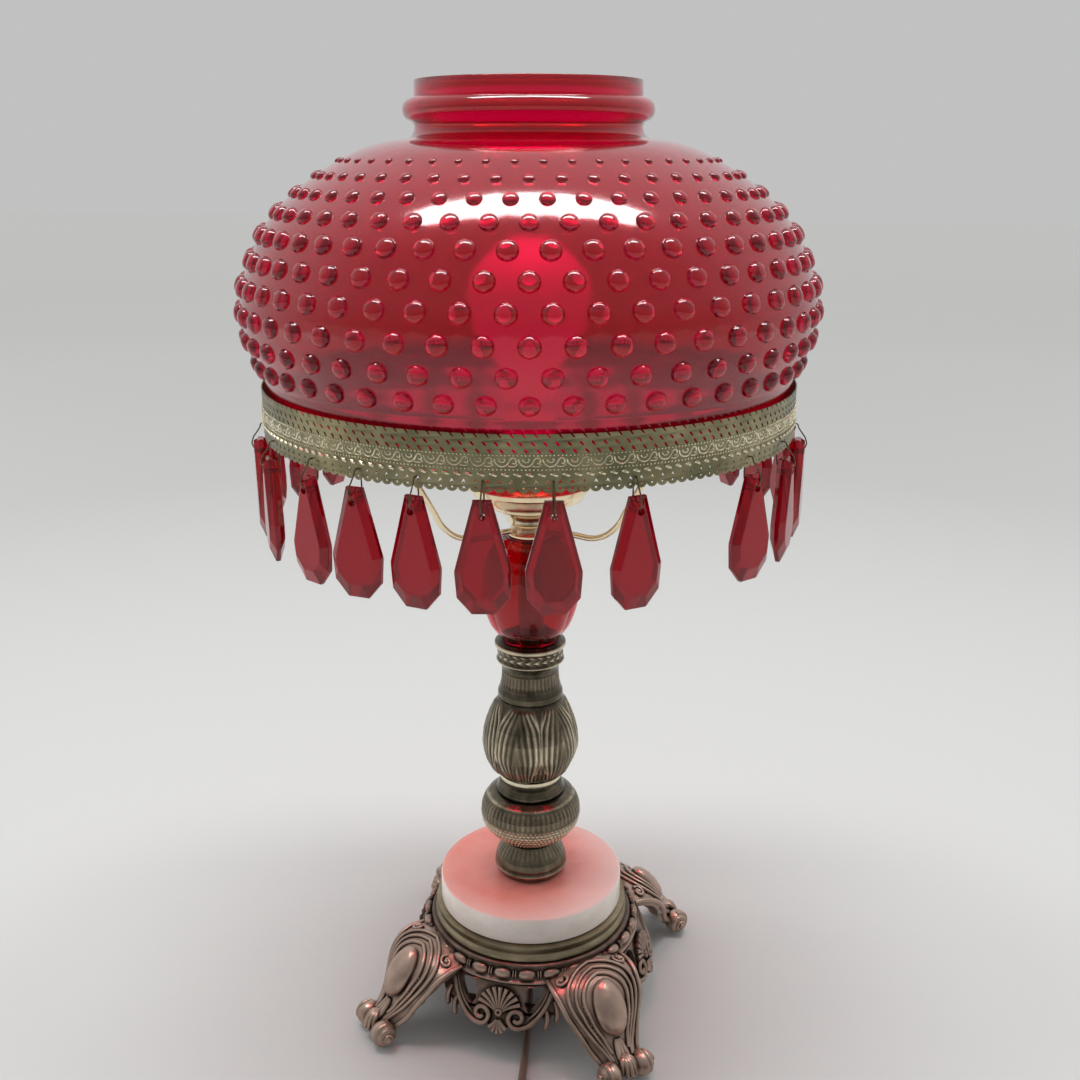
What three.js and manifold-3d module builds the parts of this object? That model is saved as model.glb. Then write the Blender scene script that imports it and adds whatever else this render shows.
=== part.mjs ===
// Table lamp with a hobnail glass shade, cut glass prisms, a marble slab and a cast brass base.
// Millimetres, +Z up. The origin is on the floor under the lamp's axis, and a shell panel faces -Y.
import * as THREE from "three";
import { mergeVertices } from "three/addons/utils/BufferGeometryUtils.js";
import Module from "manifold-3d";

const wasm = await Module();
wasm.setup();

// Clearances
const GAP = 0.3; // between pieces that rest on each other or sit in each other
const PIPE_CLEARANCE = 0.6; // radial, round the pipe
const CORD_CLEARANCE = 0.35; // radial, round the cord

// Pipe and its fasteners
const PIPE_RADIUS = 4.85;
const PIPE_BORE_RADIUS = 3.4;
const PIPE_BELOW_BASE_PLATE = 12.5;
const PIPE_INTO_SOCKET = 3.5;
const WASHER_RADIUS = 14;
const WASHER_THICKNESS = 2;
const NUT_RADIUS = 9;
const NUT_HEIGHT = 6;
const THIN_NUT_RADIUS = 7.5;
const THIN_NUT_HEIGHT = 2.6;
const BUSHING_FLANGE_RADIUS = 4.8;
const BUSHING_FLANGE_THICKNESS = 1.6;
const BUSHING_SLEEVE_LENGTH = 8;

// Base casting
const BASE_HEIGHT = 49.6;
const BASE_PLATE_THICKNESS = 4;
const BASE_RING_RADIUS = 60.5;
const BASE_RING_WIDTH = 6;
const BASE_RING_DROP = 9;
const BASE_SIDES = 32;
const LEG_COUNT = 4;
const TOE_REACH = 97;
const TOE_BALL_RADIUS = 8;
const TOE_BALL_SPREAD = 19;
const LEG_WIDTHS = [
  [9, 16],
  [20, 34],
  [30, 43],
  [42, 50],
];
const ANKLE_REACH = 88;
const BOSS_REACH = 77;
const BOSS_HEIGHT = 35.5;
const BOSS_HALF_LENGTH = 12;
const BOSS_HALF_WIDTH = 7.3;
const APRON_THICKNESS = 4;
const APRON_BOTTOM = 22;
const APRON_END_RISE = 10;
const APRON_FLARE = 7;
const APRON_HALF_ANGLE = 33;
const APRON_HOLE_ANGLE = 12.5;
const APRON_HOLE_WIDTH = 8.5;
const APRON_HOLE_HEIGHT = 9;
const APRON_HOLE_CENTRE = 35.5;

// Seat ring and marble
const SEAT_HEIGHT = 8.3;
const SEAT_RADIUS = 53.8;
const SEAT_WIDTH = 14;
const MARBLE_HEIGHT = 15.2;
const MARBLE_RADIUS = 50.3;
const MARBLE_EDGE = 0.9;

// Column, from the marble up
const COLUMN_SIDES = 16;
const COLUMN_FOOT_HEIGHT = 19.2;
const COLUMN_FOOT_RADIUS = 19.6;
const COLUMN_FOOT_TOP_RADIUS = 13.8;
const KNOP_HEIGHT = 30;
const KNOP_RADIUS = 27.2;
const KNOP_TOP_RADIUS = 20.5;
const COLLAR_HEIGHT = 11.1;
const COLLAR_RADIUS = 18.6;
const COLLAR_WAIST_RADIUS = 15.4;
const VASE_HEIGHT = 44.8;
const VASE_RADIUS = 26.2;
const VASE_TOP_RADIUS = 18.4;
const NECK_HEIGHT = 15.4;
const NECK_RADIUS = 17.4;
const NECK_TOP_RADIUS = 15.2;
const CAP_HEIGHT = 17;
const CAP_RADIUS = 18.5;

// Glass font and the shade holder above it
const FONT_HEIGHT = 56.7;
const FONT_RADIUS = 25.8;
const FONT_FOOT_RADIUS = 15.9;
const FONT_SHOULDER_RADIUS = 16.8;
const FONT_WALL = 3;
const HUB_HEIGHT = 6.9;
const HUB_RADIUS = 11;
const HUB_TOP_RADIUS = 9;
const CUP_HEIGHT = 21.1;
const CUP_RADIUS = 32;
const CUP_WALL = 1.2;
const CUP_FOOT_RADIUS = 11.5;
const ARM_RADIUS = 1.5;
const ARM_COUNT = 3;
const ARM_FIRST_ANGLE = -45;
const ARM_KNEE_REACH = 38;
const ARM_ELBOW_REACH = 58.5;
const ARM_ELBOW_RISE = 24.5;
const SHADE_RING_WIDTH = 8.5;
const SHADE_RING_THICKNESS = 2;

// Prism band and hooks
const BAND_BOTTOM = 328.4;
const BAND_HEIGHT = 23.8;
const BAND_RADIUS = 129.5;
const BAND_THICKNESS = 1.3;
const BAND_BEAD = 0.7;
const HOOK_STEPS_ROUND = 144;
const HOOK_WIRE_RADIUS = 0.45;
const HOOK_BEND_RADIUS = 4.2;
const HOOK_ABOVE_BAND_EDGE = 9.5;
const HOOK_TAIL = 6;

// Prisms: the gaps between hooks are counted in HOOK_STEPS_ROUND, from the first hook on round the band
const FIRST_HOOK_ANGLE = -65.8;
const HOOK_GAPS = [7, 7, 5, 5, 5, 5, 6, 6, 5, 6, 7, 6, 6, 5, 6, 6, 5, 6, 6, 5, 6, 6, 5, 6, 6];
const EMPTY_HOOK_PLACE = 8;
const PRISM_CIRCLE_RADIUS = 131;
const PRISM_BELOW_BAND = 2.5;
const PRISM_LENGTH = 48.1;
const PRISM_WIDTH = 23.2;
const PRISM_TOP_WIDTH = 7.8;
const PRISM_FOOT_WIDTH = 9.7;
const PRISM_SHOULDER = 29.4;
const PRISM_CHAMFER_START = 40.9;
const PRISM_THICKNESS = 7;
const PRISM_TOP_THICKNESS = 3.6;
const PRISM_EDGE_THICKNESS = 2;
const PRISM_HOLE_DEPTH = 6;
const PRISM_HOLE_RADIUS = 1.5;

// Shade
const SHADE_WALL = 3.2;
const LIP_RADIUS = 127;
const LIP_HEIGHT = 13;
const HOBS_PER_ROW = 48;
const HOB_ROWS = 10;
const HOB_HEIGHT = 3;
const TOP_HOB_HEIGHT = 1;
const HOB_TURN = 15;
const SHADE_RADIUS = 135.8;
const SHOULDER_RADIUS = 55.5;
const DOME_HEIGHT = 118.7;
const WAIST_RADIUS = 52.6;
const BEAD_RADIUS = 58.1;
const RIM_RADIUS = 52.5;
const NECK_TUBE_HEIGHT = 24.9;

// Socket and bulb
const SOCKET_RADIUS = 17.8;
const SOCKET_WALL = 0.8;
const SOCKET_CAP_HEIGHT = 18;
const SOCKET_SHELL_HEIGHT = 32;
const INSULATOR_WALL = 0.8;
const SCREW_SHELL_RADIUS = 14;
const SCREW_SHELL_HEIGHT = 13;
const SOCKET_CORE_HEIGHT = 16;
const KNOB_HEIGHT_ON_SHELL = 9;
const KNOB_ANGLE = 115;
const KNOB_SHAFT_RADIUS = 1.6;
const KNOB_STANDOFF = 6;
const KNOB_LENGTH = 12;
const KNOB_WIDTH = 11;
const KNOB_THICKNESS = 4.5;
const BULB_CAP_RADIUS = 12.9;
const BULB_CAP_HEIGHT = 24;
const BULB_RADIUS = 30;
const BULB_HEIGHT = 78;
const BULB_WALL = 1;

// Cord, coil and plug. The cord leaves the base toward CORD_ANGLE, and the coil lies out there
const CORD_RADIUS = 2;
const CORD_ANGLE = 15;
const CORD_FLOOR_GAP = 0.05;
const COIL_LAYERS = 4;
const COIL_TURNS = 11.25;
const COIL_PITCH = 4.5;
const COIL_MEAN_RADIUS = 22;
const COIL_ENTRY = [-8, -144];
const COIL_STEPS_PER_TURN = 16;
const COIL_CORD_SIDES = 6;
const TIE_WIDTH = 6;
const TIE_CLEARANCE = 0.7; // the cord's inner side cuts across each bend of the coil
const TIE_THICKNESS = 0.8;
const TIE_STRIP_UNDER = 0.35;
const PLUG_LENGTH = 26;
const PLUG_WIDTH = 24;
const PLUG_HEIGHT = 12;
const PLUG_NECK_WIDTH = 7;
const PLUG_NECK_LENGTH = 12;
const BLADE_LENGTH = 17;
const BLADE_WIDTH = 6.3;
const BLADE_THICKNESS = 1.5;
const BLADE_SPACING = 12.7;

// Levels of the stack, from the floor up
const seatBottom = BASE_HEIGHT + GAP;
const marbleBottom = seatBottom + SEAT_HEIGHT + GAP;
const columnFootBottom = marbleBottom + MARBLE_HEIGHT + GAP;
const knopBottom = columnFootBottom + COLUMN_FOOT_HEIGHT + GAP;
const collarBottom = knopBottom + KNOP_HEIGHT + GAP;
const vaseBottom = collarBottom + COLLAR_HEIGHT + GAP;
const neckBottom = vaseBottom + VASE_HEIGHT + GAP;
const capBottom = neckBottom + NECK_HEIGHT + GAP;
const fontBottom = capBottom + CAP_HEIGHT + GAP;
const hubBottom = fontBottom + FONT_HEIGHT + GAP;
const cupBottom = hubBottom + HUB_HEIGHT + GAP;
const thinNutBottom = cupBottom + CUP_WALL + GAP;
const socketBottom = thinNutBottom + THIN_NUT_HEIGHT + GAP;
const shellBottom = socketBottom + SOCKET_CAP_HEIGHT + GAP;
const washerTop = BASE_HEIGHT - BASE_PLATE_THICKNESS - GAP;
const nutTop = washerTop - WASHER_THICKNESS - GAP;
const pipeBottom = BASE_HEIGHT - BASE_PLATE_THICKNESS - PIPE_BELOW_BASE_PLATE;
const pipeTop = socketBottom + SOCKET_WALL + PIPE_INTO_SOCKET;
const bushingBottom = pipeBottom - GAP - BUSHING_FLANGE_THICKNESS;
const hole = PIPE_RADIUS + PIPE_CLEARANCE;

// Levels of the shade, its ring and the prisms
const bandTop = BAND_BOTTOM + BAND_HEIGHT;
const bandInner = BAND_RADIUS - BAND_THICKNESS;
const prismTop = BAND_BOTTOM - PRISM_BELOW_BAND;
const hookCentre = prismTop - PRISM_HOLE_DEPTH + HOOK_BEND_RADIUS - GAP;
const shadeRingBottom = BAND_BOTTOM + BAND_HEIGHT / 2 + 1.5;
const shadeBottom = shadeRingBottom + SHADE_RING_THICKNESS + GAP;
const lipTop = shadeBottom + LIP_HEIGHT;
const domeTop = shadeBottom + DOME_HEIGHT;

const radians = THREE.MathUtils.degToRad;
const group = new THREE.Group();

const material = (color, roughness, metalness, opacity = 1) =>
  new THREE.MeshStandardMaterial({ color, roughness, metalness, opacity, transparent: opacity < 1 });
const antiqueBrass = material(0x7d6a52, 0.45, 0.9);
const oliveBrass = material(0x8f8352, 0.4, 0.9);
const brightBrass = material(0xb59a55, 0.3, 1);
const bronze = material(0x3c4036, 0.4, 0.9);
const steel = material(0x9a9a96, 0.35, 1);
const marbleStone = material(0xd9cfc9, 0.3, 0);
const rubyGlass = material(0xa3122c, 0.08, 0, 0.6);
const frostedGlass = material(0xf2efe8, 0.5, 0, 0.8);
const brownPlastic = material(0x6b5347, 0.5, 0);
const blackPlastic = material(0x1d1c1b, 0.45, 0);
const fibre = material(0x8b7355, 0.9, 0);

function add(name, geometry, look) {
  const mesh = new THREE.Mesh(geometry, look);
  mesh.name = name;
  group.add(mesh);
  return mesh;
}

// A position on a circle round the axis: angle 0 is toward -Y, and it grows toward +X
function around(radius, degrees, z) {
  const a = radians(degrees);
  return new THREE.Vector3(radius * Math.sin(a), -radius * Math.cos(a), z);
}

// A turned piece from a closed profile of [radius, z], listed up the outside and down the inside
function turned(profile, sides = COLUMN_SIDES) {
  const points = [...profile, profile[0]].map(([r, z]) => new THREE.Vector2(r, z));
  return new THREE.LatheGeometry(points, sides).rotateX(Math.PI / 2);
}

// A turned piece with a straight bore: only its outside is listed, from the bottom up
function bored(outside, boreRadius, sides = COLUMN_SIDES) {
  const bottom = outside[0][1];
  const top = outside[outside.length - 1][1];
  return turned([[boreRadius, bottom], ...outside, [boreRadius, top]], sides);
}

function polygon(radius, sides, turn = 0) {
  const shape = new THREE.Shape();
  for (let i = 0; i < sides; i++) {
    const a = turn + (i * 2 * Math.PI) / sides;
    const at = [radius * Math.cos(a), radius * Math.sin(a)];
    if (i === 0) shape.moveTo(...at);
    else shape.lineTo(...at);
  }
  shape.closePath();
  return shape;
}

// A round rod along the smooth curve through a list of points
function rod(points, radius, sides, steps) {
  const path = new THREE.CatmullRomCurve3(points, false, "centripetal");
  return new THREE.ExtrudeGeometry(polygon(radius, sides, Math.PI / sides), { steps, extrudePath: path });
}

function hexNut(radius, height, bottom, boreRadius) {
  const shape = polygon(radius, 6);
  shape.holes.push(polygon(boreRadius, 16));
  const nut = new THREE.ExtrudeGeometry(shape, { depth: height, bevelEnabled: false });
  return nut.translate(0, 0, bottom);
}

function solid(geometry) {
  const bare = geometry.index ? geometry.toNonIndexed() : geometry.clone();
  bare.deleteAttribute("normal");
  bare.deleteAttribute("uv");
  const merged = mergeVertices(bare, 1e-4);
  return new wasm.Manifold(
    new wasm.Mesh({
      numProp: 3,
      vertProperties: new Float32Array(merged.attributes.position.array),
      triVerts: new Uint32Array(merged.index.array),
    }),
  );
}

function geometryOf(manifold) {
  const { vertProperties, triVerts } = manifold.getMesh();
  const made = new THREE.BufferGeometry();
  made.setAttribute("position", new THREE.BufferAttribute(vertProperties, 3));
  made.setIndex(new THREE.BufferAttribute(triVerts, 1));
  made.computeVertexNormals();
  return made;
}

function meshOf(points, triangles) {
  const made = new THREE.BufferGeometry();
  made.setAttribute("position", new THREE.Float32BufferAttribute(points.flat(), 3));
  made.setIndex(triangles.flat());
  made.computeVertexNormals();
  return made;
}

// Base casting: the top plate with its bead ring, then legs and apron panels joined to it
function basePlate() {
  const top = BASE_HEIGHT;
  const ringInner = BASE_RING_RADIUS - BASE_RING_WIDTH;
  const under = top - BASE_PLATE_THICKNESS;
  const low = top - BASE_RING_DROP;
  return turned(
    [
      [hole, under],
      [ringInner, under],
      [ringInner, low],
      [BASE_RING_RADIUS - 2, low],
      [BASE_RING_RADIUS, low + 2.5],
      [BASE_RING_RADIUS, low + 5.5],
      [BASE_RING_RADIUS - 3.2, top],
      [hole, top],
    ],
    BASE_SIDES,
  );
}

// A leg's width at a height above the floor, from the pairs of height and width in LEG_WIDTHS
function legWidth(z) {
  const above = LEG_WIDTHS.findIndex(([height]) => height > z);
  if (above === 0) return LEG_WIDTHS[0][1];
  if (above < 0) return LEG_WIDTHS.at(-1)[1];
  const [[lowEnd, lowWidth], [highEnd, highWidth]] = [LEG_WIDTHS[above - 1], LEG_WIDTHS[above]];
  return THREE.MathUtils.mapLinear(z, lowEnd, highEnd, lowWidth, highWidth);
}

// A leg's side outline is drawn in reach and height, and its width follows the height
function legSolid() {
  const top = BASE_HEIGHT;
  const root = BASE_RING_RADIUS - BASE_RING_WIDTH + 0.5;
  const shape = new THREE.Shape();
  shape.moveTo(root, top - 1.2);
  shape.lineTo(root + 10, top - 1.8);
  shape.lineTo(BOSS_REACH - 2, top - 7);
  shape.lineTo(BOSS_REACH + 6, BOSS_HEIGHT - 5);
  shape.lineTo(ANKLE_REACH, 18);
  shape.lineTo(TOE_REACH, 13);
  shape.lineTo(TOE_REACH + 6, 6);
  shape.lineTo(TOE_REACH + 4, 0);
  shape.lineTo(TOE_REACH - 8, 0);
  shape.lineTo(TOE_REACH - 12, 6);
  shape.lineTo(ANKLE_REACH - 6, 17);
  shape.lineTo(BOSS_REACH - 4, BOSS_HEIGHT - 9);
  shape.lineTo(root + 4, top - BASE_RING_DROP - 2);
  shape.lineTo(root, top - BASE_RING_DROP + 0.5);
  shape.closePath();
  const leg = new THREE.ExtrudeGeometry(shape, { depth: 2, bevelEnabled: false });
  leg.translate(0, 0, -1).rotateX(Math.PI / 2);
  const at = leg.attributes.position;
  for (let i = 0; i < at.count; i++) {
    at.setY(i, (at.getY(i) * legWidth(at.getZ(i))) / 2);
  }
  const slope = Math.atan2(BOSS_HEIGHT, TOE_REACH - BOSS_REACH);
  const boss = new THREE.SphereGeometry(1, 8, 5)
    .scale(BOSS_HALF_LENGTH, BOSS_HALF_WIDTH, 4.5)
    .rotateY(slope * 0.72)
    .translate(BOSS_REACH, 0, BOSS_HEIGHT);
  let leg3d = solid(leg).add(solid(boss));
  for (const side of [-1, 1]) {
    const ball = new THREE.SphereGeometry(TOE_BALL_RADIUS, 8, 4)
      .rotateX(Math.PI / 2)
      .translate(TOE_REACH, (side * TOE_BALL_SPREAD) / 2, TOE_BALL_RADIUS + 0.2);
    leg3d = leg3d.add(solid(ball));
  }
  return leg3d;
}

// An apron panel: a curved plate that flares outward toward its lower edge
function apronSolid() {
  const columns = 8;
  const topLevel = BASE_HEIGHT - BASE_RING_DROP + 1.5;
  const points = [];
  const triangles = [];
  for (let i = 0; i <= columns; i++) {
    const s = (2 * i) / columns - 1;
    const angle = s * APRON_HALF_ANGLE;
    const rise = APRON_END_RISE * THREE.MathUtils.smoothstep(Math.abs(s), 0.55, 1);
    const low = APRON_BOTTOM + rise;
    const flare = (APRON_FLARE * (topLevel - low)) / (topLevel - APRON_BOTTOM);
    const outer = BASE_RING_RADIUS - 0.5;
    const ends = [
      [outer, topLevel],
      [outer + flare, low],
      [outer + flare - APRON_THICKNESS, low],
      [outer - APRON_THICKNESS, topLevel],
    ];
    for (const [r, z] of ends) points.push(around(r, angle, z).toArray());
  }
  for (let i = 0; i < columns; i++) {
    for (let k = 0; k < 4; k++) {
      const a = 4 * i + k;
      const b = 4 * i + ((k + 1) % 4);
      triangles.push([a, b, b + 4], [a, b + 4, a + 4]);
    }
  }
  const last = 4 * columns;
  triangles.push([0, 2, 1], [0, 3, 2], [last, last + 1, last + 2], [last, last + 2, last + 3]);
  let panel = solid(meshOf(points, triangles));
  for (const side of [-1, 1]) {
    const cutter = new THREE.CylinderGeometry(0.5, 0.5, 24, 6)
      .scale(APRON_HOLE_WIDTH, 1, APRON_HOLE_HEIGHT)
      .translate(0, -BASE_RING_RADIUS, APRON_HOLE_CENTRE)
      .rotateZ(radians(side * APRON_HOLE_ANGLE));
    panel = panel.subtract(solid(cutter));
  }
  return panel;
}

function baseCasting() {
  let casting = solid(basePlate());
  const leg = legSolid();
  const apron = apronSolid();
  const turnBetween = 360 / LEG_COUNT;
  for (let i = 0; i < LEG_COUNT; i++) {
    casting = casting.add(leg.rotate([0, 0, turnBetween * (i + 0.5)]));
    casting = casting.add(apron.rotate([0, 0, turnBetween * i]));
  }
  return geometryOf(casting);
}

function seatRing() {
  const z = seatBottom;
  const top = z + SEAT_HEIGHT;
  return bored(
    [
      [SEAT_RADIUS, z],
      [SEAT_RADIUS, z + 3],
      [SEAT_RADIUS - 1.2, z + 4],
      [SEAT_RADIUS - 0.8, top],
    ],
    SEAT_RADIUS - SEAT_WIDTH,
    BASE_SIDES,
  );
}

function marbleSlab() {
  const z = marbleBottom;
  const top = z + MARBLE_HEIGHT;
  return bored(
    [
      [MARBLE_RADIUS - MARBLE_EDGE, z],
      [MARBLE_RADIUS, z + MARBLE_EDGE],
      [MARBLE_RADIUS, top - MARBLE_EDGE],
      [MARBLE_RADIUS - MARBLE_EDGE, top],
    ],
    hole,
    BASE_SIDES,
  );
}

// Turned column pieces: each outline gives [radius, share of the piece's height]
function columnPiece(bottom, height, outline) {
  return bored(
    outline.map(([r, share]) => [r, bottom + share * height]),
    hole,
  );
}

const columnFoot = () =>
  columnPiece(columnFootBottom, COLUMN_FOOT_HEIGHT, [
    [COLUMN_FOOT_RADIUS - 3, 0],
    [COLUMN_FOOT_RADIUS, 0.18],
    [COLUMN_FOOT_RADIUS, 0.45],
    [COLUMN_FOOT_RADIUS - 2, 0.7],
    [COLUMN_FOOT_TOP_RADIUS + 1.4, 0.92],
    [COLUMN_FOOT_TOP_RADIUS, 1],
  ]);

const columnKnop = () =>
  columnPiece(knopBottom, KNOP_HEIGHT, [
    [COLUMN_FOOT_TOP_RADIUS, 0],
    [COLUMN_FOOT_TOP_RADIUS + 1.5, 0.08],
    [KNOP_RADIUS - 5, 0.22],
    [KNOP_RADIUS - 1, 0.4],
    [KNOP_RADIUS, 0.58],
    [KNOP_RADIUS - 0.8, 0.78],
    [KNOP_RADIUS - 3.5, 0.93],
    [KNOP_TOP_RADIUS, 1],
  ]);

const columnCollar = () =>
  columnPiece(collarBottom, COLLAR_HEIGHT, [
    [COLLAR_RADIUS, 0],
    [COLLAR_RADIUS, 0.25],
    [COLLAR_RADIUS - 1.6, 0.5],
    [COLLAR_WAIST_RADIUS, 0.62],
    [COLLAR_WAIST_RADIUS + 1.4, 0.75],
    [COLLAR_WAIST_RADIUS + 1.4, 1],
  ]);

const columnVase = () =>
  columnPiece(vaseBottom, VASE_HEIGHT, [
    [COLLAR_WAIST_RADIUS + 1.4, 0],
    [COLLAR_WAIST_RADIUS + 5, 0.05],
    [VASE_RADIUS - 2.4, 0.18],
    [VASE_RADIUS, 0.38],
    [VASE_RADIUS - 0.9, 0.6],
    [VASE_TOP_RADIUS + 3.4, 0.82],
    [VASE_TOP_RADIUS, 1],
  ]);

const columnNeck = () =>
  columnPiece(neckBottom, NECK_HEIGHT, [
    [NECK_RADIUS, 0],
    [NECK_RADIUS, 0.3],
    [NECK_TOP_RADIUS, 0.85],
    [NECK_TOP_RADIUS, 1],
  ]);

const columnCap = () =>
  columnPiece(capBottom, CAP_HEIGHT, [
    [NECK_TOP_RADIUS, 0],
    [NECK_TOP_RADIUS + 0.6, 0.18],
    [CAP_RADIUS - 1, 0.4],
    [CAP_RADIUS - 1, 0.7],
    [CAP_RADIUS, 0.8],
    [CAP_RADIUS, 0.92],
    [CAP_RADIUS - 1.6, 1],
  ]);

// Hollow glass font with a hole at each end for the pipe
function glassFont() {
  const z = fontBottom;
  const top = z + FONT_HEIGHT;
  const wall = FONT_WALL;
  return turned([
    [hole, z],
    [FONT_FOOT_RADIUS, z],
    [FONT_RADIUS - 4.2, z + 0.17 * FONT_HEIGHT],
    [FONT_RADIUS - 0.6, z + 0.36 * FONT_HEIGHT],
    [FONT_RADIUS, z + 0.5 * FONT_HEIGHT],
    [FONT_RADIUS - 1.8, z + 0.72 * FONT_HEIGHT],
    [FONT_SHOULDER_RADIUS, z + 0.94 * FONT_HEIGHT],
    [HUB_RADIUS + 1, top],
    [hole, top],
    [hole, top - wall],
    [HUB_RADIUS + 1, top - wall],
    [FONT_RADIUS - 1.8 - wall, z + 0.72 * FONT_HEIGHT],
    [FONT_RADIUS - wall, z + 0.45 * FONT_HEIGHT],
    [FONT_FOOT_RADIUS - wall, z + wall],
    [hole, z + wall],
  ]);
}

const holderHub = () =>
  columnPiece(hubBottom, HUB_HEIGHT, [
    [HUB_RADIUS, 0],
    [HUB_RADIUS, 0.15],
    [HUB_TOP_RADIUS, 1],
  ]);

// A wire arm: out from the hub, up past the cup, then out to the ring under the shade
function holderArm(degrees) {
  const level = hubBottom + HUB_HEIGHT / 2;
  const start = HUB_RADIUS + GAP;
  const ringMiddle = LIP_RADIUS - SHADE_RING_WIDTH / 2;
  const elbow = level + ARM_ELBOW_RISE;
  const end = shadeRingBottom - GAP - 0.4;
  const route = [
    [start, level],
    [start + 14, level],
    [ARM_KNEE_REACH, level + 0.3],
    [ARM_KNEE_REACH + 10, level + 6.6],
    [ARM_ELBOW_REACH - 3.4, elbow - 6],
    [ARM_ELBOW_REACH, elbow],
    [ARM_ELBOW_REACH + 7, elbow + 11],
    [ringMiddle - 36, end - 16],
    [ringMiddle - 15, end - 8.5],
    [ringMiddle - 2, end - 5],
    [ringMiddle, end - 1.5],
    [ringMiddle, end],
  ];
  return rod(route.map(([r, z]) => around(r, degrees, z)), ARM_RADIUS, 6, 15);
}

const shadeRing = () =>
  turned(
    [
      [LIP_RADIUS - SHADE_RING_WIDTH, shadeRingBottom],
      [bandInner - GAP, shadeRingBottom],
      [bandInner - GAP, shadeRingBottom + SHADE_RING_THICKNESS],
      [LIP_RADIUS - SHADE_RING_WIDTH, shadeRingBottom + SHADE_RING_THICKNESS],
    ],
    BASE_SIDES,
  );

function burnerCup() {
  const z = cupBottom;
  const rim = z + CUP_HEIGHT;
  const wall = CUP_WALL;
  return turned([
    [hole, z],
    [CUP_FOOT_RADIUS, z],
    [CUP_FOOT_RADIUS + 5.5, z + 7.4],
    [CUP_RADIUS - 8, z + 11],
    [CUP_RADIUS - 3, z + 15.6],
    [CUP_RADIUS, rim],
    [CUP_RADIUS - wall, rim],
    [CUP_RADIUS - 3.4 - wall, z + 16.6],
    [CUP_RADIUS - 8.4 - wall, z + 11 + wall],
    [CUP_FOOT_RADIUS + 5 - wall, z + 7.4 + wall],
    [CUP_FOOT_RADIUS - wall, z + wall],
    [hole, z + wall],
  ]);
}

// Where the prisms hang: degrees round the axis, one for each hook
function hookAngles() {
  const step = 360 / HOOK_STEPS_ROUND;
  let angle = FIRST_HOOK_ANGLE;
  const angles = [];
  HOOK_GAPS.forEach((gap, place) => {
    if (place !== EMPTY_HOOK_PLACE) angles.push(angle);
    angle += gap * step;
  });
  return angles;
}

// A hook leaves the band's wall, goes down outside it, bends under and comes up inside it
function hookSolid() {
  const wire = HOOK_WIRE_RADIUS;
  const outer = PRISM_CIRCLE_RADIUS + HOOK_BEND_RADIUS;
  const inner = PRISM_CIRCLE_RADIUS - HOOK_BEND_RADIUS;
  const start = BAND_BOTTOM + HOOK_ABOVE_BAND_EDGE;
  const route = [
    [BAND_RADIUS - BAND_THICKNESS / 2, start],
    [outer, start - 3],
    [outer, hookCentre],
  ];
  const bends = 4;
  for (let i = 1; i < bends; i++) {
    const a = (i * Math.PI) / bends;
    route.push([
      PRISM_CIRCLE_RADIUS + HOOK_BEND_RADIUS * Math.cos(a),
      hookCentre - HOOK_BEND_RADIUS * Math.sin(a),
    ]);
  }
  route.push([inner, hookCentre], [inner, hookCentre + HOOK_TAIL]);
  return solid(planarWire(route, wire));
}

// A three-sided wire along a route of [reach, z] in the plane x = 0
function planarWire(route, radius) {
  const section = [0, 1, 2].map((k) => radians(60 + 120 * k));
  const points = [];
  const triangles = [];
  route.forEach(([r, z], i) => {
    const before = route[Math.max(i - 1, 0)];
    const after = route[Math.min(i + 1, route.length - 1)];
    const along = new THREE.Vector2(after[0] - before[0], after[1] - before[1]).normalize();
    const across = [along.y, -along.x];
    for (const a of section) {
      const u = radius * Math.cos(a);
      points.push([radius * Math.sin(a), -(r + u * across[0]), z + u * across[1]]);
    }
    if (i === 0) return;
    for (let k = 0; k < 3; k++) {
      const a = 3 * (i - 1) + k;
      const b = 3 * (i - 1) + ((k + 1) % 3);
      triangles.push([a, b, b + 3], [a, b + 3, a + 3]);
    }
  });
  const last = 3 * (route.length - 1);
  triangles.push([0, 2, 1], [last, last + 1, last + 2]);
  return meshOf(points, triangles);
}

function prismBand() {
  const z = BAND_BOTTOM;
  const outer = BAND_RADIUS;
  let band = solid(
    turned(
      [
        [bandInner, z],
        [outer - 0.4, z],
        [outer + BAND_BEAD - 0.4, z + 5.8],
        [outer - 0.4, z + 7],
        [outer - 0.4, bandTop - 9],
        [outer + BAND_BEAD - 0.4, bandTop - 7.8],
        [outer - 0.4, bandTop],
        [bandInner, bandTop],
      ],
      HOBS_PER_ROW,
    ),
  );
  const hook = hookSolid();
  for (const angle of hookAngles()) band = band.add(hook.rotate([0, 0, angle]));
  return geometryOf(band);
}

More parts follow.
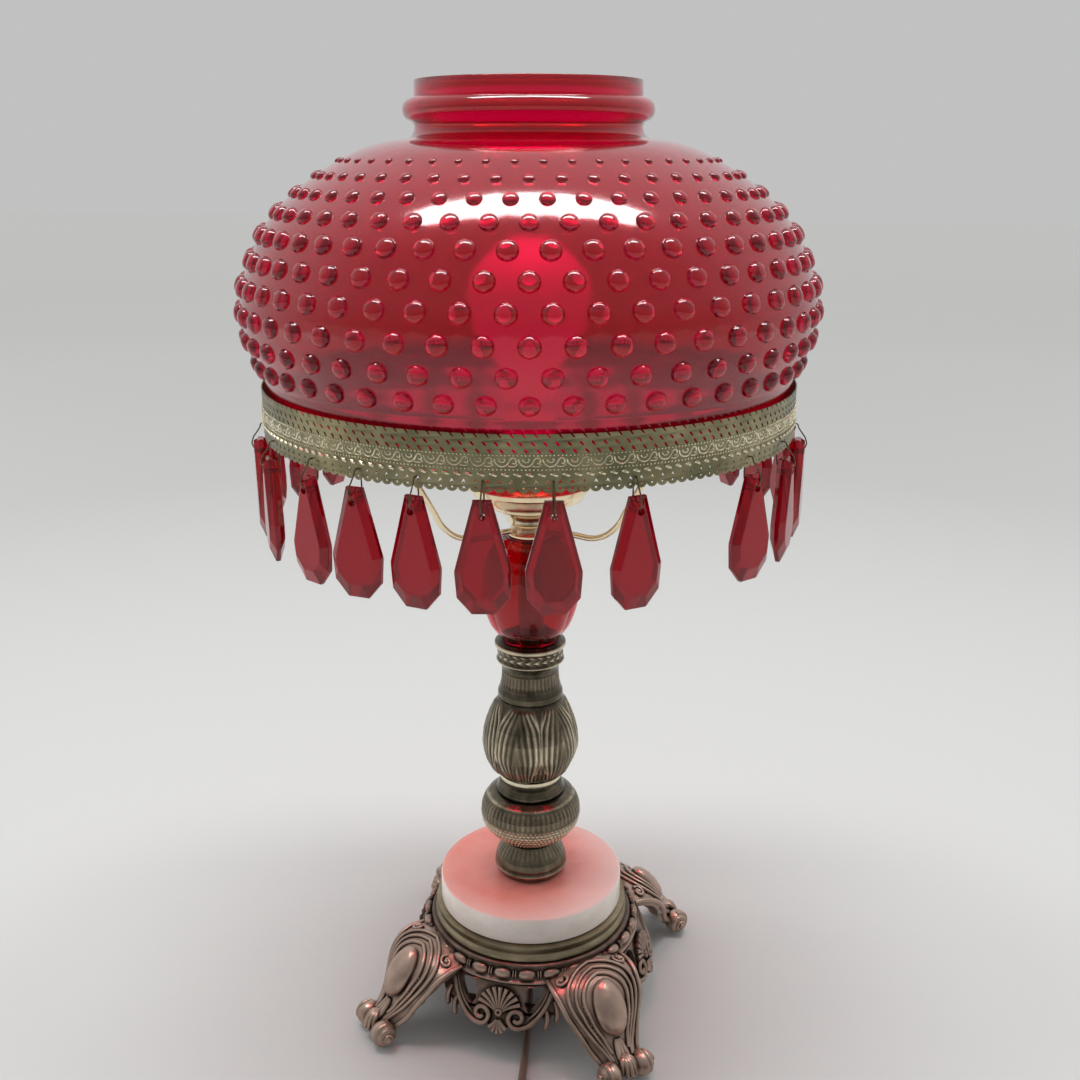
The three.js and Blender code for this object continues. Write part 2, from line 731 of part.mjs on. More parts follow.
// A cut prism hangs from its hole: a thin edge all round, and a raised facet front and back
function cutPrism() {
  const top = PRISM_HOLE_DEPTH;
  const edge = [
    [PRISM_TOP_WIDTH / 2, top],
    [PRISM_WIDTH / 2, top - PRISM_SHOULDER],
    [PRISM_WIDTH / 2, top - PRISM_CHAMFER_START],
    [PRISM_FOOT_WIDTH / 2, top - PRISM_LENGTH],
  ];
  const facet = [
    [PRISM_TOP_WIDTH / 2 - 1.3, top - 1.5, PRISM_TOP_THICKNESS / 2],
    [PRISM_WIDTH / 2 - 5.2, top - PRISM_SHOULDER - 0.5, PRISM_THICKNESS / 2],
    [PRISM_WIDTH / 2 - 5.2, top - PRISM_CHAMFER_START + 1.5, PRISM_THICKNESS / 2],
    [PRISM_FOOT_WIDTH / 2 - 1.8, top - PRISM_LENGTH + 4, PRISM_THICKNESS / 2],
  ];
  const half = PRISM_EDGE_THICKNESS / 2;
  const loop = (list) => [...list, ...[...list].reverse().map(([x, ...rest]) => [-x, ...rest])];
  const edgeLoop = loop(edge);
  const facetLoop = loop(facet);
  const rings = [
    facetLoop.map(([x, z, y]) => [x, -y, z]),
    edgeLoop.map(([x, z]) => [x, -half, z]),
    edgeLoop.map(([x, z]) => [x, half, z]),
    facetLoop.map(([x, z, y]) => [x, y, z]),
  ];
  const n = edgeLoop.length;
  const triangles = [];
  for (let ring = 0; ring < 3; ring++) {
    for (let k = 0; k < n; k++) {
      const a = ring * n + k;
      const b = ring * n + ((k + 1) % n);
      triangles.push([a, b, b + n], [a, b + n, a + n]);
    }
  }
  for (let k = 0; k < n / 2 - 1; k++) {
    const [a, b, c, d] = [k, k + 1, n - 2 - k, n - 1 - k];
    triangles.push([a, d, c], [a, c, b]);
    const back = 3 * n;
    triangles.push([back + a, back + c, back + d], [back + a, back + b, back + c]);
  }
  const bore = new THREE.CylinderGeometry(PRISM_HOLE_RADIUS, PRISM_HOLE_RADIUS, 2 * PRISM_THICKNESS, 6);
  return geometryOf(solid(meshOf(rings.flat(), triangles)).subtract(solid(bore)));
}

// Outer line of the shade without its hobs, from the shoulder down to the lip
function domeLine() {
  const r = (share) => SHOULDER_RADIUS + share * (SHADE_RADIUS - SHOULDER_RADIUS);
  const z = (share) => lipTop + share * (domeTop - lipTop);
  return new THREE.SplineCurve(
    [
      [SHOULDER_RADIUS, domeTop],
      [r(0.18), z(0.978)],
      [r(0.374), z(0.92)],
      [r(0.623), z(0.8)],
      [r(0.83), z(0.643)],
      [r(0.968), z(0.43)],
      [SHADE_RADIUS, z(0.32)],
      [r(0.987), z(0.196)],
      [r(0.94), z(0.092)],
      [LIP_RADIUS + 0.4, lipTop],
    ].map(([x, y]) => new THREE.Vector2(x, y)),
  );
}

// The shade's hobs stand in staggered rows. Each is a low four-sided point on a diamond of glass,
// whose corners are shared with the hobs beside it and with the rows above and below
function hobnailShade() {
  const line = domeLine();
  line.arcLengthDivisions = 400;
  const columns = 2 * HOBS_PER_ROW;
  const firstRow = 0.225;
  const rowStep = (0.955 - firstRow) / (HOB_ROWS - 1);
  const points = [];
  const triangles = [];
  const put = (r, z, k) =>
    points.push(around(r, HOB_TURN + (k * 360) / columns, z).toArray()) - 1;
  const onLine = (row, lift) => {
    const u = THREE.MathUtils.clamp(firstRow + row * rowStep, 0, 1);
    const at = line.getPointAt(u);
    const along = line.getTangentAt(u);
    return [at.x - lift * along.y, at.y + lift * along.x];
  };
  const hobColumn = (row) => (row + 1) % 2;
  // valley[row + 1][k] is the glass between the hobs of a row
  const valley = [];
  for (let row = -1; row <= HOB_ROWS; row++) {
    const [r, z] = row === HOB_ROWS ? [LIP_RADIUS, lipTop - 2] : onLine(row, 0);
    const indices = {};
    for (let k = 1 - hobColumn(row); k < columns; k += 2) indices[k] = put(r, z, k);
    valley.push(indices);
  }
  const wrap = (k) => (k + columns) % columns;
  for (let row = 0; row < HOB_ROWS; row++) {
    const height = Math.min(HOB_HEIGHT, TOP_HOB_HEIGHT + 0.5 * row);
    const [r, z] = onLine(row, height);
    for (let k = hobColumn(row); k < columns; k += 2) {
      const peak = put(r, z, k);
      const left = valley[row + 1][wrap(k - 1)];
      const right = valley[row + 1][wrap(k + 1)];
      const above = valley[row][k];
      const below = valley[row + 2][k];
      triangles.push([peak, above, left], [peak, left, below], [peak, below, right], [peak, right, above]);
    }
  }
  const topParity = hobColumn(0);
  const lowParity = hobColumn(HOB_ROWS - 1);
  for (let j = 0; j < HOBS_PER_ROW; j++) {
    const k = topParity + 2 * j;
    triangles.push([valley[0][k], valley[1][wrap(k + 1)], valley[0][wrap(k + 2)]]);
    const m = lowParity + 2 * j;
    const lowest = HOB_ROWS + 1;
    triangles.push([valley[lowest][m], valley[lowest][wrap(m + 2)], valley[lowest - 1][wrap(m + 1)]]);
  }
  // Plain rings: neck outside, rim, inside wall, lip
  const rim = domeTop + NECK_TUBE_HEIGHT;
  const shadeBead = domeTop + NECK_TUBE_HEIGHT / 2;
  const wall = SHADE_WALL;
  const insideRow = (row) => onLine(row, -wall);
  const plain = [
    [SHOULDER_RADIUS, domeTop],
    [WAIST_RADIUS, shadeBead - 5.5],
    [BEAD_RADIUS, shadeBead - 1.4],
    [BEAD_RADIUS - 0.4, shadeBead + 2],
    [RIM_RADIUS, shadeBead + 5],
    [RIM_RADIUS, rim],
    [RIM_RADIUS - wall, rim],
    [WAIST_RADIUS - wall, domeTop + 1],
    [SHOULDER_RADIUS, domeTop - wall],
    insideRow(1),
    insideRow(3.5),
    insideRow(6),
    insideRow(8),
    [LIP_RADIUS - wall, lipTop - 1],
    [LIP_RADIUS - wall, shadeBottom],
    [LIP_RADIUS, shadeBottom],
  ];
  const rings = plain.map(([r, z]) => {
    const ring = [];
    for (let j = 0; j < HOBS_PER_ROW; j++) ring.push(put(r, z, topParity + 2 * j));
    return ring;
  });
  const topRing = [];
  const lowRing = [];
  for (let j = 0; j < HOBS_PER_ROW; j++) {
    topRing.push(valley[0][topParity + 2 * j]);
    lowRing.push(valley[HOB_ROWS + 1][wrap(lowParity + 2 * (j + 1))]);
  }
  const strips = [topRing, ...rings, lowRing];
  for (let s = 0; s < strips.length - 1; s++) {
    for (let j = 0; j < HOBS_PER_ROW; j++) {
      const next = (j + 1) % HOBS_PER_ROW;
      const [a, b, c, d] = [strips[s][j], strips[s][next], strips[s + 1][next], strips[s + 1][j]];
      triangles.push([a, b, d], [d, b, c]);
    }
  }
  return meshOf(points, triangles);
}

const lampPipe = () =>
  turned([
    [PIPE_BORE_RADIUS, pipeBottom],
    [PIPE_RADIUS, pipeBottom],
    [PIPE_RADIUS, pipeTop],
    [PIPE_BORE_RADIUS, pipeTop],
  ]);

const baseWasher = () =>
  bored([[WASHER_RADIUS, washerTop - WASHER_THICKNESS], [WASHER_RADIUS, washerTop]], hole);

function cordBushing() {
  const bore = CORD_RADIUS + CORD_CLEARANCE;
  const sleeve = PIPE_BORE_RADIUS - GAP;
  const flangeTop = bushingBottom + BUSHING_FLANGE_THICKNESS;
  return turned([
    [bore, bushingBottom],
    [BUSHING_FLANGE_RADIUS, bushingBottom],
    [BUSHING_FLANGE_RADIUS, flangeTop],
    [sleeve, flangeTop],
    [sleeve, flangeTop + BUSHING_SLEEVE_LENGTH],
    [bore, flangeTop + BUSHING_SLEEVE_LENGTH],
  ]);
}

function socketCap() {
  const z = socketBottom;
  const rim = z + SOCKET_CAP_HEIGHT;
  const wall = SOCKET_WALL;
  const outer = SOCKET_RADIUS;
  return turned([
    [hole, z],
    [outer - 8, z],
    [outer - 3.6, z + 4.6],
    [outer - 0.8, z + 11],
    [outer, rim],
    [outer - wall, rim],
    [outer - 0.8 - wall, z + 11],
    [outer - 3.8 - wall, z + 5],
    [outer - 8.4, z + wall],
    [hole, z + wall],
  ]);
}

const knobLevel = shellBottom + KNOB_HEIGHT_ON_SHELL;

// A round cut from the socket's axis outward, toward the knob
function knobCut(radius, from) {
  const length = SOCKET_RADIUS + 2 - from;
  const cut = new THREE.CylinderGeometry(radius, radius, length, 12)
    .translate(0, -(from + length / 2), knobLevel)
    .rotateZ(radians(KNOB_ANGLE));
  return solid(cut);
}

const tube = (outer, wall, bottom, height) =>
  turned([
    [outer - wall, bottom],
    [outer, bottom],
    [outer, bottom + height],
    [outer - wall, bottom + height],
  ]);

const socketShell = () =>
  geometryOf(
    solid(tube(SOCKET_RADIUS, SOCKET_WALL, shellBottom, SOCKET_SHELL_HEIGHT)).subtract(
      knobCut(KNOB_SHAFT_RADIUS + 0.6, 10),
    ),
  );

const insulatorRadius = SOCKET_RADIUS - SOCKET_WALL - GAP;
const socketInsulator = () =>
  geometryOf(
    solid(tube(insulatorRadius, INSULATOR_WALL, shellBottom, SOCKET_SHELL_HEIGHT - 1)).subtract(
      knobCut(KNOB_SHAFT_RADIUS + 0.6, 10),
    ),
  );

const coreRadius = insulatorRadius - INSULATOR_WALL - GAP;
const coreTop = shellBottom + SOCKET_CORE_HEIGHT;
const shaftEnd = coreRadius - 6;
const socketCore = () =>
  geometryOf(
    solid(bored([[coreRadius, shellBottom], [coreRadius, coreTop]], CORD_RADIUS + CORD_CLEARANCE)).subtract(
      knobCut(KNOB_SHAFT_RADIUS + 0.4, shaftEnd - GAP),
    ),
  );

const screwShellBottom = coreTop + GAP;

// The switch knob: a round shaft with a flat paddle on it, made along -Y and turned to its place
function switchKnob() {
  const paddleStart = SOCKET_RADIUS + KNOB_STANDOFF;
  const shaftLength = paddleStart + 2 - shaftEnd;
  const shaft = new THREE.CylinderGeometry(KNOB_SHAFT_RADIUS, KNOB_SHAFT_RADIUS, shaftLength, 10)
    .translate(0, -(shaftEnd + shaftLength / 2), 0);
  const paddle = new THREE.CylinderGeometry(KNOB_WIDTH / 2, KNOB_WIDTH / 2, KNOB_THICKNESS, 14)
    .rotateZ(Math.PI / 2)
    .scale(1, KNOB_LENGTH / KNOB_WIDTH, 1)
    .translate(0, -(paddleStart + KNOB_LENGTH / 2), 0);
  return geometryOf(solid(shaft).add(solid(paddle)));
}

const bulbBottom = screwShellBottom + GAP;
function bulbCap() {
  const z = bulbBottom;
  return new THREE.LatheGeometry(
    [
      [0, z],
      [4.5, z],
      [6.5, z + 2.4],
      [BULB_CAP_RADIUS - 0.5, z + 5],
      [BULB_CAP_RADIUS, z + 7],
      [BULB_CAP_RADIUS, z + BULB_CAP_HEIGHT],
      [0, z + BULB_CAP_HEIGHT],
    ].map(([x, y]) => new THREE.Vector2(x, y)),
    COLUMN_SIDES,
  ).rotateX(Math.PI / 2);
}

const bulbGlassBottom = bulbBottom + BULB_CAP_HEIGHT + GAP;
function bulbGlass() {
  const z = bulbGlassBottom;
  const top = z + BULB_HEIGHT;
  const middle = top - BULB_RADIUS;
  const wall = BULB_WALL;
  const outer = [
    [BULB_CAP_RADIUS - 0.6, z],
    [BULB_CAP_RADIUS + 1, z + 8],
    [BULB_RADIUS * 0.8, middle - BULB_RADIUS * 0.7],
    [BULB_RADIUS, middle],
  ];
  const inner = [
    [BULB_RADIUS - wall, middle],
    [BULB_RADIUS * 0.8 - wall, middle - BULB_RADIUS * 0.68],
    [BULB_CAP_RADIUS + 1 - wall, z + 8],
    [BULB_CAP_RADIUS - 0.6 - wall, z],
  ];
  const dome = (radius, from, to) => {
    const steps = 4;
    const list = [];
    for (let i = 1; i <= steps; i++) {
      const a = from + ((to - from) * i) / steps;
      list.push([radius * Math.cos(a), middle + radius * Math.sin(a)]);
    }
    return list;
  };
  const profile = [
    ...outer,
    ...dome(BULB_RADIUS, 0, Math.PI / 2),
    [0, middle + BULB_RADIUS - wall],
    ...dome(BULB_RADIUS - wall, Math.PI / 2, 0).slice(0, -1),
    ...inner,
    outer[0],
  ];
  const clean = profile.map(([x, y]) => new THREE.Vector2(Math.abs(x) < 1e-6 ? 0 : x, y));
  return new THREE.LatheGeometry(clean, COLUMN_SIDES).rotateX(Math.PI / 2);
}

// The cord is drawn in its own frame, where -Y is the way it leaves. It comes straight down the pipe
const floorLevel = CORD_RADIUS + CORD_FLOOR_GAP;
const coilLift = CORD_FLOOR_GAP + TIE_STRIP_UNDER + GAP + CORD_RADIUS;
const coilSpread = ((COIL_TURNS / COIL_LAYERS) * COIL_PITCH) / 2;
const coilOuter = COIL_MEAN_RADIUS + coilSpread;
const coilInner = COIL_MEAN_RADIUS - coilSpread;
const coilTop = coilLift + (COIL_LAYERS - 1) * COIL_PITCH;
const coilCentre = [COIL_ENTRY[0] + coilOuter, COIL_ENTRY[1]];

function cordRun() {
  const points = [
    [0, 0, shellBottom - GAP],
    [0, 0, shellBottom - 90],
    [0, 0, bushingBottom + 90],
    [0, 0, bushingBottom],
    [0, 0, bushingBottom - 6],
    [0, -1.2, 20],
    [-0.2, -5.5, 12.5],
    [-0.5, -12.5, 6.5],
    [-0.8, -21, 3.2],
    [-1.1, -30, floorLevel],
    [-1.7, -44, floorLevel],
    [-3, -62, floorLevel],
    [-4.7, -82, floorLevel],
    [-6.4, -101, floorLevel],
    [COIL_ENTRY[0], -122, coilLift],
    [COIL_ENTRY[0], COIL_ENTRY[1] + 2 * CORD_RADIUS + GAP, coilLift],
  ];
  return rod(points.map((p) => new THREE.Vector3(...p)), CORD_RADIUS, 6, 34);
}

// Centre line of the coil: it spirals in and out at a steady rate and climbs a layer at each turn back
function coilPoint(turn) {
  const perLayer = COIL_TURNS / COIL_LAYERS;
  const layer = Math.min(Math.floor(turn / perLayer), COIL_LAYERS - 1);
  const within = turn / perLayer - layer;
  const inward = layer % 2 === 0;
  const r = inward
    ? THREE.MathUtils.lerp(coilOuter, coilInner, within)
    : THREE.MathUtils.lerp(coilInner, coilOuter, within);
  let z = coilLift;
  for (let k = 1; k < COIL_LAYERS; k++) {
    z += COIL_PITCH * THREE.MathUtils.smoothstep(turn - k * perLayer, -0.25, 0.25);
  }
  const a = Math.PI + turn * 2 * Math.PI;
  return new THREE.Vector3(coilCentre[0] + r * Math.cos(a), coilCentre[1] + r * Math.sin(a), z);
}

function coilLine() {
  const steps = Math.round(COIL_TURNS * COIL_STEPS_PER_TURN);
  const line = [];
  for (let i = 0; i <= steps; i++) line.push(coilPoint((i * COIL_TURNS) / steps));
  const straight = 2 * CORD_RADIUS;
  line.unshift(line[0].clone().add(new THREE.Vector3(0, straight, 0)));
  line.push(line[line.length - 1].clone().add(new THREE.Vector3(straight, 0, 0)));
  return line;
}

// A tube of few sides along a level line, with its section kept upright
function levelTube(line, radius, sides) {
  const points = [];
  const triangles = [];
  const up = new THREE.Vector3(0, 0, 1);
  line.forEach((at, i) => {
    const before = line[Math.max(i - 1, 0)];
    const after = line[Math.min(i + 1, line.length - 1)];
    let along = after.clone().sub(before);
    if (i <= 1) along = line[1].clone().sub(line[0]);
    if (i >= line.length - 2) along = line[line.length - 1].clone().sub(line[line.length - 2]);
    along.normalize();
    const side = up.clone().cross(along).normalize();
    const over = along.clone().cross(side);
    for (let k = 0; k < sides; k++) {
      const a = (k * 2 * Math.PI) / sides;
      const p = at.clone();
      p.addScaledVector(side, radius * Math.cos(a)).addScaledVector(over, radius * Math.sin(a));
      points.push(p.toArray());
    }
    if (i === 0) return;
    for (let k = 0; k < sides; k++) {
      const a = sides * (i - 1) + k;
      const b = sides * (i - 1) + ((k + 1) % sides);
      triangles.push([a, b, b + sides], [a, b + sides, a + sides]);
    }
  });
  const last = sides * (line.length - 1);
  for (let k = 1; k < sides - 1; k++) {
    triangles.push([0, k + 1, k], [last, last + k, last + k + 1]);
  }
  return meshOf(points, triangles);
}

// Least distance between stretches of the coil that are over half a turn apart, less the cord itself
function coilGap() {
  const samples = [];
  const count = Math.round(COIL_TURNS * 36);
  for (let i = 0; i <= count; i++) samples.push(coilPoint((i * COIL_TURNS) / count));
  let least = Infinity;
  for (let i = 0; i < samples.length; i++) {
    for (let j = i + 18; j < samples.length; j++) {
      least = Math.min(least, samples[i].distanceTo(samples[j]));
    }
  }
  return least - 2 * CORD_RADIUS;
}
console.log(`least gap of the coil to itself: ${coilGap().toFixed(2)} mm`);

function cordTail() {
  const [x, y] = [coilCentre[0], coilCentre[1] - coilOuter];
  const plugX = x + 52;
  const plugLevel = CORD_FLOOR_GAP + PLUG_HEIGHT / 2;
  const points = [
    [x + 2 * CORD_RADIUS + GAP, y, coilTop],
    [x + 10, y, coilTop - 0.4],
    [x + 19, y + 0.3, coilTop - 4.6],
    [x + 28, y + 1.2, 6],
    [x + 36, y + 3.4, 2.6],
    [x + 43, y + 7.4, floorLevel + 0.4],
    [x + 48.6, y + 13, 3.4],
    [x + 51.4, y + 18.6, plugLevel - 0.8],
    [plugX, y + 23, plugLevel],
    [plugX, y + 27, plugLevel],
  ];
  return rod(points.map((p) => new THREE.Vector3(...p)), CORD_RADIUS, 6, 16);
}

const plugPlace = () =>
  new THREE.Vector3(
    coilCentre[0] + 52,
    coilCentre[1] - coilOuter + 27 + GAP,
    CORD_FLOOR_GAP + PLUG_HEIGHT / 2,
  );

// A tie strip round the coil's bundle
function cordTie() {
  const left = coilInner - CORD_RADIUS - TIE_CLEARANCE;
  const right = coilOuter + CORD_RADIUS + TIE_CLEARANCE;
  const low = coilLift - CORD_RADIUS - GAP;
  const high = coilTop + CORD_RADIUS + GAP;
  const box = (x0, z0, x1, z1, path) => {
    path.moveTo(x0, z0);
    path.lineTo(x1, z0);
    path.lineTo(x1, z1);
    path.lineTo(x0, z1);
    path.closePath();
    return path;
  };
  const t = TIE_THICKNESS;
  const shape = box(left - t, low - TIE_STRIP_UNDER, right + t, high + t, new THREE.Shape());
  shape.holes.push(box(left, low, right, high, new THREE.Path()));
  return new THREE.ExtrudeGeometry(shape, { depth: TIE_WIDTH, bevelEnabled: false })
    .translate(0, 0, -TIE_WIDTH / 2)
    .rotateX(Math.PI / 2)
    .translate(coilCentre[0], coilCentre[1], 0);
}

// The moulded plug lies flat, and its two blades point along +Y
function plugBody() {
  const half = PLUG_WIDTH / 2;
  const neck = PLUG_NECK_WIDTH / 2;
  const end = PLUG_NECK_LENGTH + PLUG_LENGTH;
  const shape = new THREE.Shape();
  shape.moveTo(-neck, 0);
  shape.lineTo(neck, 0);
  shape.lineTo(neck + 0.8, PLUG_NECK_LENGTH);
  shape.lineTo(half - 2, PLUG_NECK_LENGTH + 8);
  shape.lineTo(half, PLUG_NECK_LENGTH + 13);
  shape.lineTo(half, end);
  shape.lineTo(-half, end);
  shape.lineTo(-half, PLUG_NECK_LENGTH + 13);
  shape.lineTo(2 - half, PLUG_NECK_LENGTH + 8);
  shape.lineTo(-neck - 0.8, PLUG_NECK_LENGTH);
  shape.closePath();
  const body = new THREE.ExtrudeGeometry(shape, { depth: PLUG_HEIGHT, bevelEnabled: false });
  let plug = solid(body.translate(0, 0, -PLUG_HEIGHT / 2));
  for (const side of [-1, 1]) plug = plug.add(solid(plugBlade(side)));
  return geometryOf(plug.translate(plugPlace().toArray()));
}

function plugBlade(side) {
  const root = PLUG_NECK_LENGTH + PLUG_LENGTH - 1;
  return new THREE.BoxGeometry(BLADE_THICKNESS, BLADE_LENGTH, BLADE_WIDTH).translate(
    (side * BLADE_SPACING) / 2,
    root + BLADE_LENGTH / 2,
    0,
  );
}

// Assembly, from the floor up
add("base_casting", baseCasting(), antiqueBrass);
add("base_washer", baseWasher(), steel);
add("base_nut", hexNut(NUT_RADIUS, NUT_HEIGHT, nutTop - NUT_HEIGHT, hole), steel);
add("cord_bushing", cordBushing(), blackPlastic);
add("lamp_pipe", lampPipe(), steel);
add("marble_seat_ring", seatRing(), oliveBrass);
add("marble_slab", marbleSlab(), marbleStone);
add("column_foot", columnFoot(), bronze);
add("column_knop", columnKnop(), bronze);
add("column_collar", columnCollar(), bronze);
add("column_vase", columnVase(), bronze);
add("column_neck", columnNeck(), bronze);
add("column_cap", columnCap(), bronze);
add("glass_font", glassFont(), rubyGlass);
add("holder_hub", holderHub(), brightBrass);
for (let i = 0; i < ARM_COUNT; i++) {
  add(`holder_arm_${i + 1}`, holderArm(ARM_FIRST_ANGLE + (i * 360) / ARM_COUNT), brightBrass);
}
add("shade_ring", shadeRing(), oliveBrass);
add("burner_cup", burnerCup(), brightBrass);
add("prism_band", prismBand(), oliveBrass);
add("hobnail_shade", hobnailShade(), rubyGlass);

const prismShape = cutPrism();
hookAngles().forEach((angle, i) => {
  const prism = add(`prism_${String(i + 1).padStart(2, "0")}`, prismShape, rubyGlass);
  prism.position.copy(around(PRISM_CIRCLE_RADIUS, angle, prismTop - PRISM_HOLE_DEPTH));
  prism.rotation.z = radians(angle);
});

add("socket_nut", hexNut(THIN_NUT_RADIUS, THIN_NUT_HEIGHT, thinNutBottom, hole), steel);
add("socket_cap", socketCap(), brightBrass);
add("socket_shell", socketShell(), brightBrass);
add("socket_insulator", socketInsulator(), fibre);
add("socket_core", socketCore(), blackPlastic);
add("socket_screw_shell", tube(SCREW_SHELL_RADIUS, 0.6, screwShellBottom, SCREW_SHELL_HEIGHT), brightBrass);
const knob = add("switch_knob", switchKnob(), blackPlastic);
knob.position.z = knobLevel;
knob.rotation.z = radians(KNOB_ANGLE);
add("bulb_cap", bulbCap(), steel);
add("bulb_glass", bulbGlass(), frostedGlass);

const cordSet = new THREE.Group();
cordSet.rotation.z = radians(CORD_ANGLE);
group.add(cordSet);
cordSet.add(add("cord_run", cordRun(), brownPlastic));
cordSet.add(add("cord_coil", levelTube(coilLine(), CORD_RADIUS, COIL_CORD_SIDES), brownPlastic));
cordSet.add(add("cord_tie", cordTie(), blackPlastic));
cordSet.add(add("cord_tail", cordTail(), brownPlastic));
cordSet.add(add("plug", plugBody(), brownPlastic));

export default group;
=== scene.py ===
# %% [markdown]
# # A table lamp with a ruby hobnail shade
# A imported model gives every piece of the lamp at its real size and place: a pierced brass base, a
# marble slab, a bronze column, a glass font, and a shade with hanging prisms. Here each piece that
# shows is modelled again with its fine shape and its finish, over the plain solid it stands for.
# Everything is in metres. The outlines are written in millimetres, because they are easier to read so.

import math

import bpy
from mathutils import Matrix, Vector


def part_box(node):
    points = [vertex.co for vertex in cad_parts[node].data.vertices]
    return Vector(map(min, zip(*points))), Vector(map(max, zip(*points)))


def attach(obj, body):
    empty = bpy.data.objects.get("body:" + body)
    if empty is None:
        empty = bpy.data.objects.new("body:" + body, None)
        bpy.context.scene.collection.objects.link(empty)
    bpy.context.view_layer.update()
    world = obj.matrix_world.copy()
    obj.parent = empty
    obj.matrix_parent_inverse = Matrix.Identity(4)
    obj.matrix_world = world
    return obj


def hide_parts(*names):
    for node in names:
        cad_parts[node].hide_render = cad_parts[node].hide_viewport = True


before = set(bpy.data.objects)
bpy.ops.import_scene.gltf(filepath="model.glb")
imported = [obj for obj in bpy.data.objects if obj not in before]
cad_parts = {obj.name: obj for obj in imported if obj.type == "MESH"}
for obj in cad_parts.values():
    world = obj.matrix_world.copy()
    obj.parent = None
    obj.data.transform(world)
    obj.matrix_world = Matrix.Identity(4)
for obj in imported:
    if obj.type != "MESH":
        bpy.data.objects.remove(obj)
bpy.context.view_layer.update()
MM = 0.001

# %% [markdown]
# ## The camera
# The photograph looks down on the lamp by 18 degrees from a little over half a metre, so the feet
# are seen from above and the shade almost from the side. The camera stands 15 degrees to the right
# of the base's front panel and is turned a hair to the right, which puts the lamp left of centre.

# %% Camera
CAMERA_TURN = math.radians(15)
DEGREES_DOWN, DEGREES_ASIDE = 18.07, 0.51
CAMERA_SPOT = (0.1507, -0.5625, 0.457)
SENSOR_WIDTH, FOCAL_LENGTH = 36, 39.73


def in_scene(name, data):
    """A new object with this data, put into the scene."""
    thing = bpy.data.objects.new(name, data)
    bpy.context.scene.collection.objects.link(thing)
    return thing


camera_data = bpy.data.cameras.new("camera")
camera_data.sensor_width = SENSOR_WIDTH
camera_data.lens = FOCAL_LENGTH
camera_data.clip_start = 0.01
camera = in_scene("camera", camera_data)
camera.location = CAMERA_SPOT
camera.rotation_euler = (math.radians(90 - DEGREES_DOWN), 0, CAMERA_TURN - math.radians(DEGREES_ASIDE))
bpy.context.scene.camera = camera
print("camera at", tuple(camera.location))

# %% [markdown]
# ## Floor and light
# A pale floor keeps the lamp's shadow. It is painted lighter further off, where less light falls, so
# that it passes into the backdrop without a line. Glass shows what is behind and above it, so the
# world is pale all round, and one long lamp overhead draws the bright bar that the real shade shows
# on its shoulder. Two wide soft lamps at the sides keep the metal readable. They are kept out of
# reflections, because a square of light would show on the smooth glass.


# %% Helpers for shader nodes
def new_node(tree, kind, values=None, **settings):
    """Adds a shader node: settings are its own fields, values go to its inputs."""
    node = tree.nodes.new(f"ShaderNode{kind}")
    for field, setting in settings.items():
        setattr(node, field, setting)
    for socket, value in (values or {}).items():
        node.inputs[socket].default_value = value
    return node


def link_all(tree, *pairs):
    """Links each output to its input."""
    for output, socket in pairs:
        tree.links.new(output, socket)


def new_ramp(tree, stops):
    """Adds a colour ramp with (place, colour) stops."""
    ramp = new_node(tree, "ValToRGB")
    while len(ramp.color_ramp.elements) < len(stops):
        ramp.color_ramp.elements.new(0.5)
    for element, (place, colour) in zip(ramp.color_ramp.elements, stops):
        element.position = place
        element.color = (*colour, 1)
    return ramp


def added(name, primitive, **settings):
    """Adds a primitive with nothing else selected, names it, and puts its place into its mesh."""
    bpy.ops.object.select_all(action="DESELECT")
    primitive(**settings)
    piece = bpy.context.object
    piece.name = name
    piece.data.name = name
    bpy.ops.object.transform_apply(location=True, rotation=True, scale=True)
    return piece


# %% Floor
BACKDROP = (0.53, 0.535, 0.53, 1)
FLOOR_SIZE, FLOOR_SHOWN_TO = 16, 8.0
FLOOR_GREYS = [(0, 0.53), (1.2, 0.53), (1.7, 0.61), (2.3, 0.7), (3.3, 0.775), (4.8, 0.835), (8, 0.855)]
FLOOR_WARMTH = 0.985
floor = added("floor", bpy.ops.mesh.primitive_plane_add, size=FLOOR_SIZE)
floor_material = bpy.data.materials.new("pale_floor")
floor_material.use_nodes = True
tree = floor_material.node_tree
floor_shader = tree.nodes["Principled BSDF"]
floor_shader.inputs["Roughness"].default_value = 0.9
floor_shader.inputs["Specular IOR Level"].default_value = 0.1
floor_spot = new_node(tree, "TexCoord")
floor_reach = new_node(tree, "VectorMath", operation="LENGTH")
floor_share = new_node(tree, "Math", {1: FLOOR_SHOWN_TO}, operation="DIVIDE")
floor_stops = [(reach / FLOOR_SHOWN_TO, (grey, grey, grey * FLOOR_WARMTH)) for reach, grey in FLOOR_GREYS]
floor_ramp = new_ramp(tree, floor_stops)
link_all(
    tree,
    (floor_spot.outputs["Object"], floor_reach.inputs[0]),
    (floor_reach.outputs["Value"], floor_share.inputs[0]),
    (floor_share.outputs["Value"], floor_ramp.inputs["Fac"]),
    (floor_ramp.outputs["Color"], floor_shader.inputs["Base Color"]),
)
floor.data.materials.append(floor_material)
print("floor", FLOOR_SIZE, "m wide")

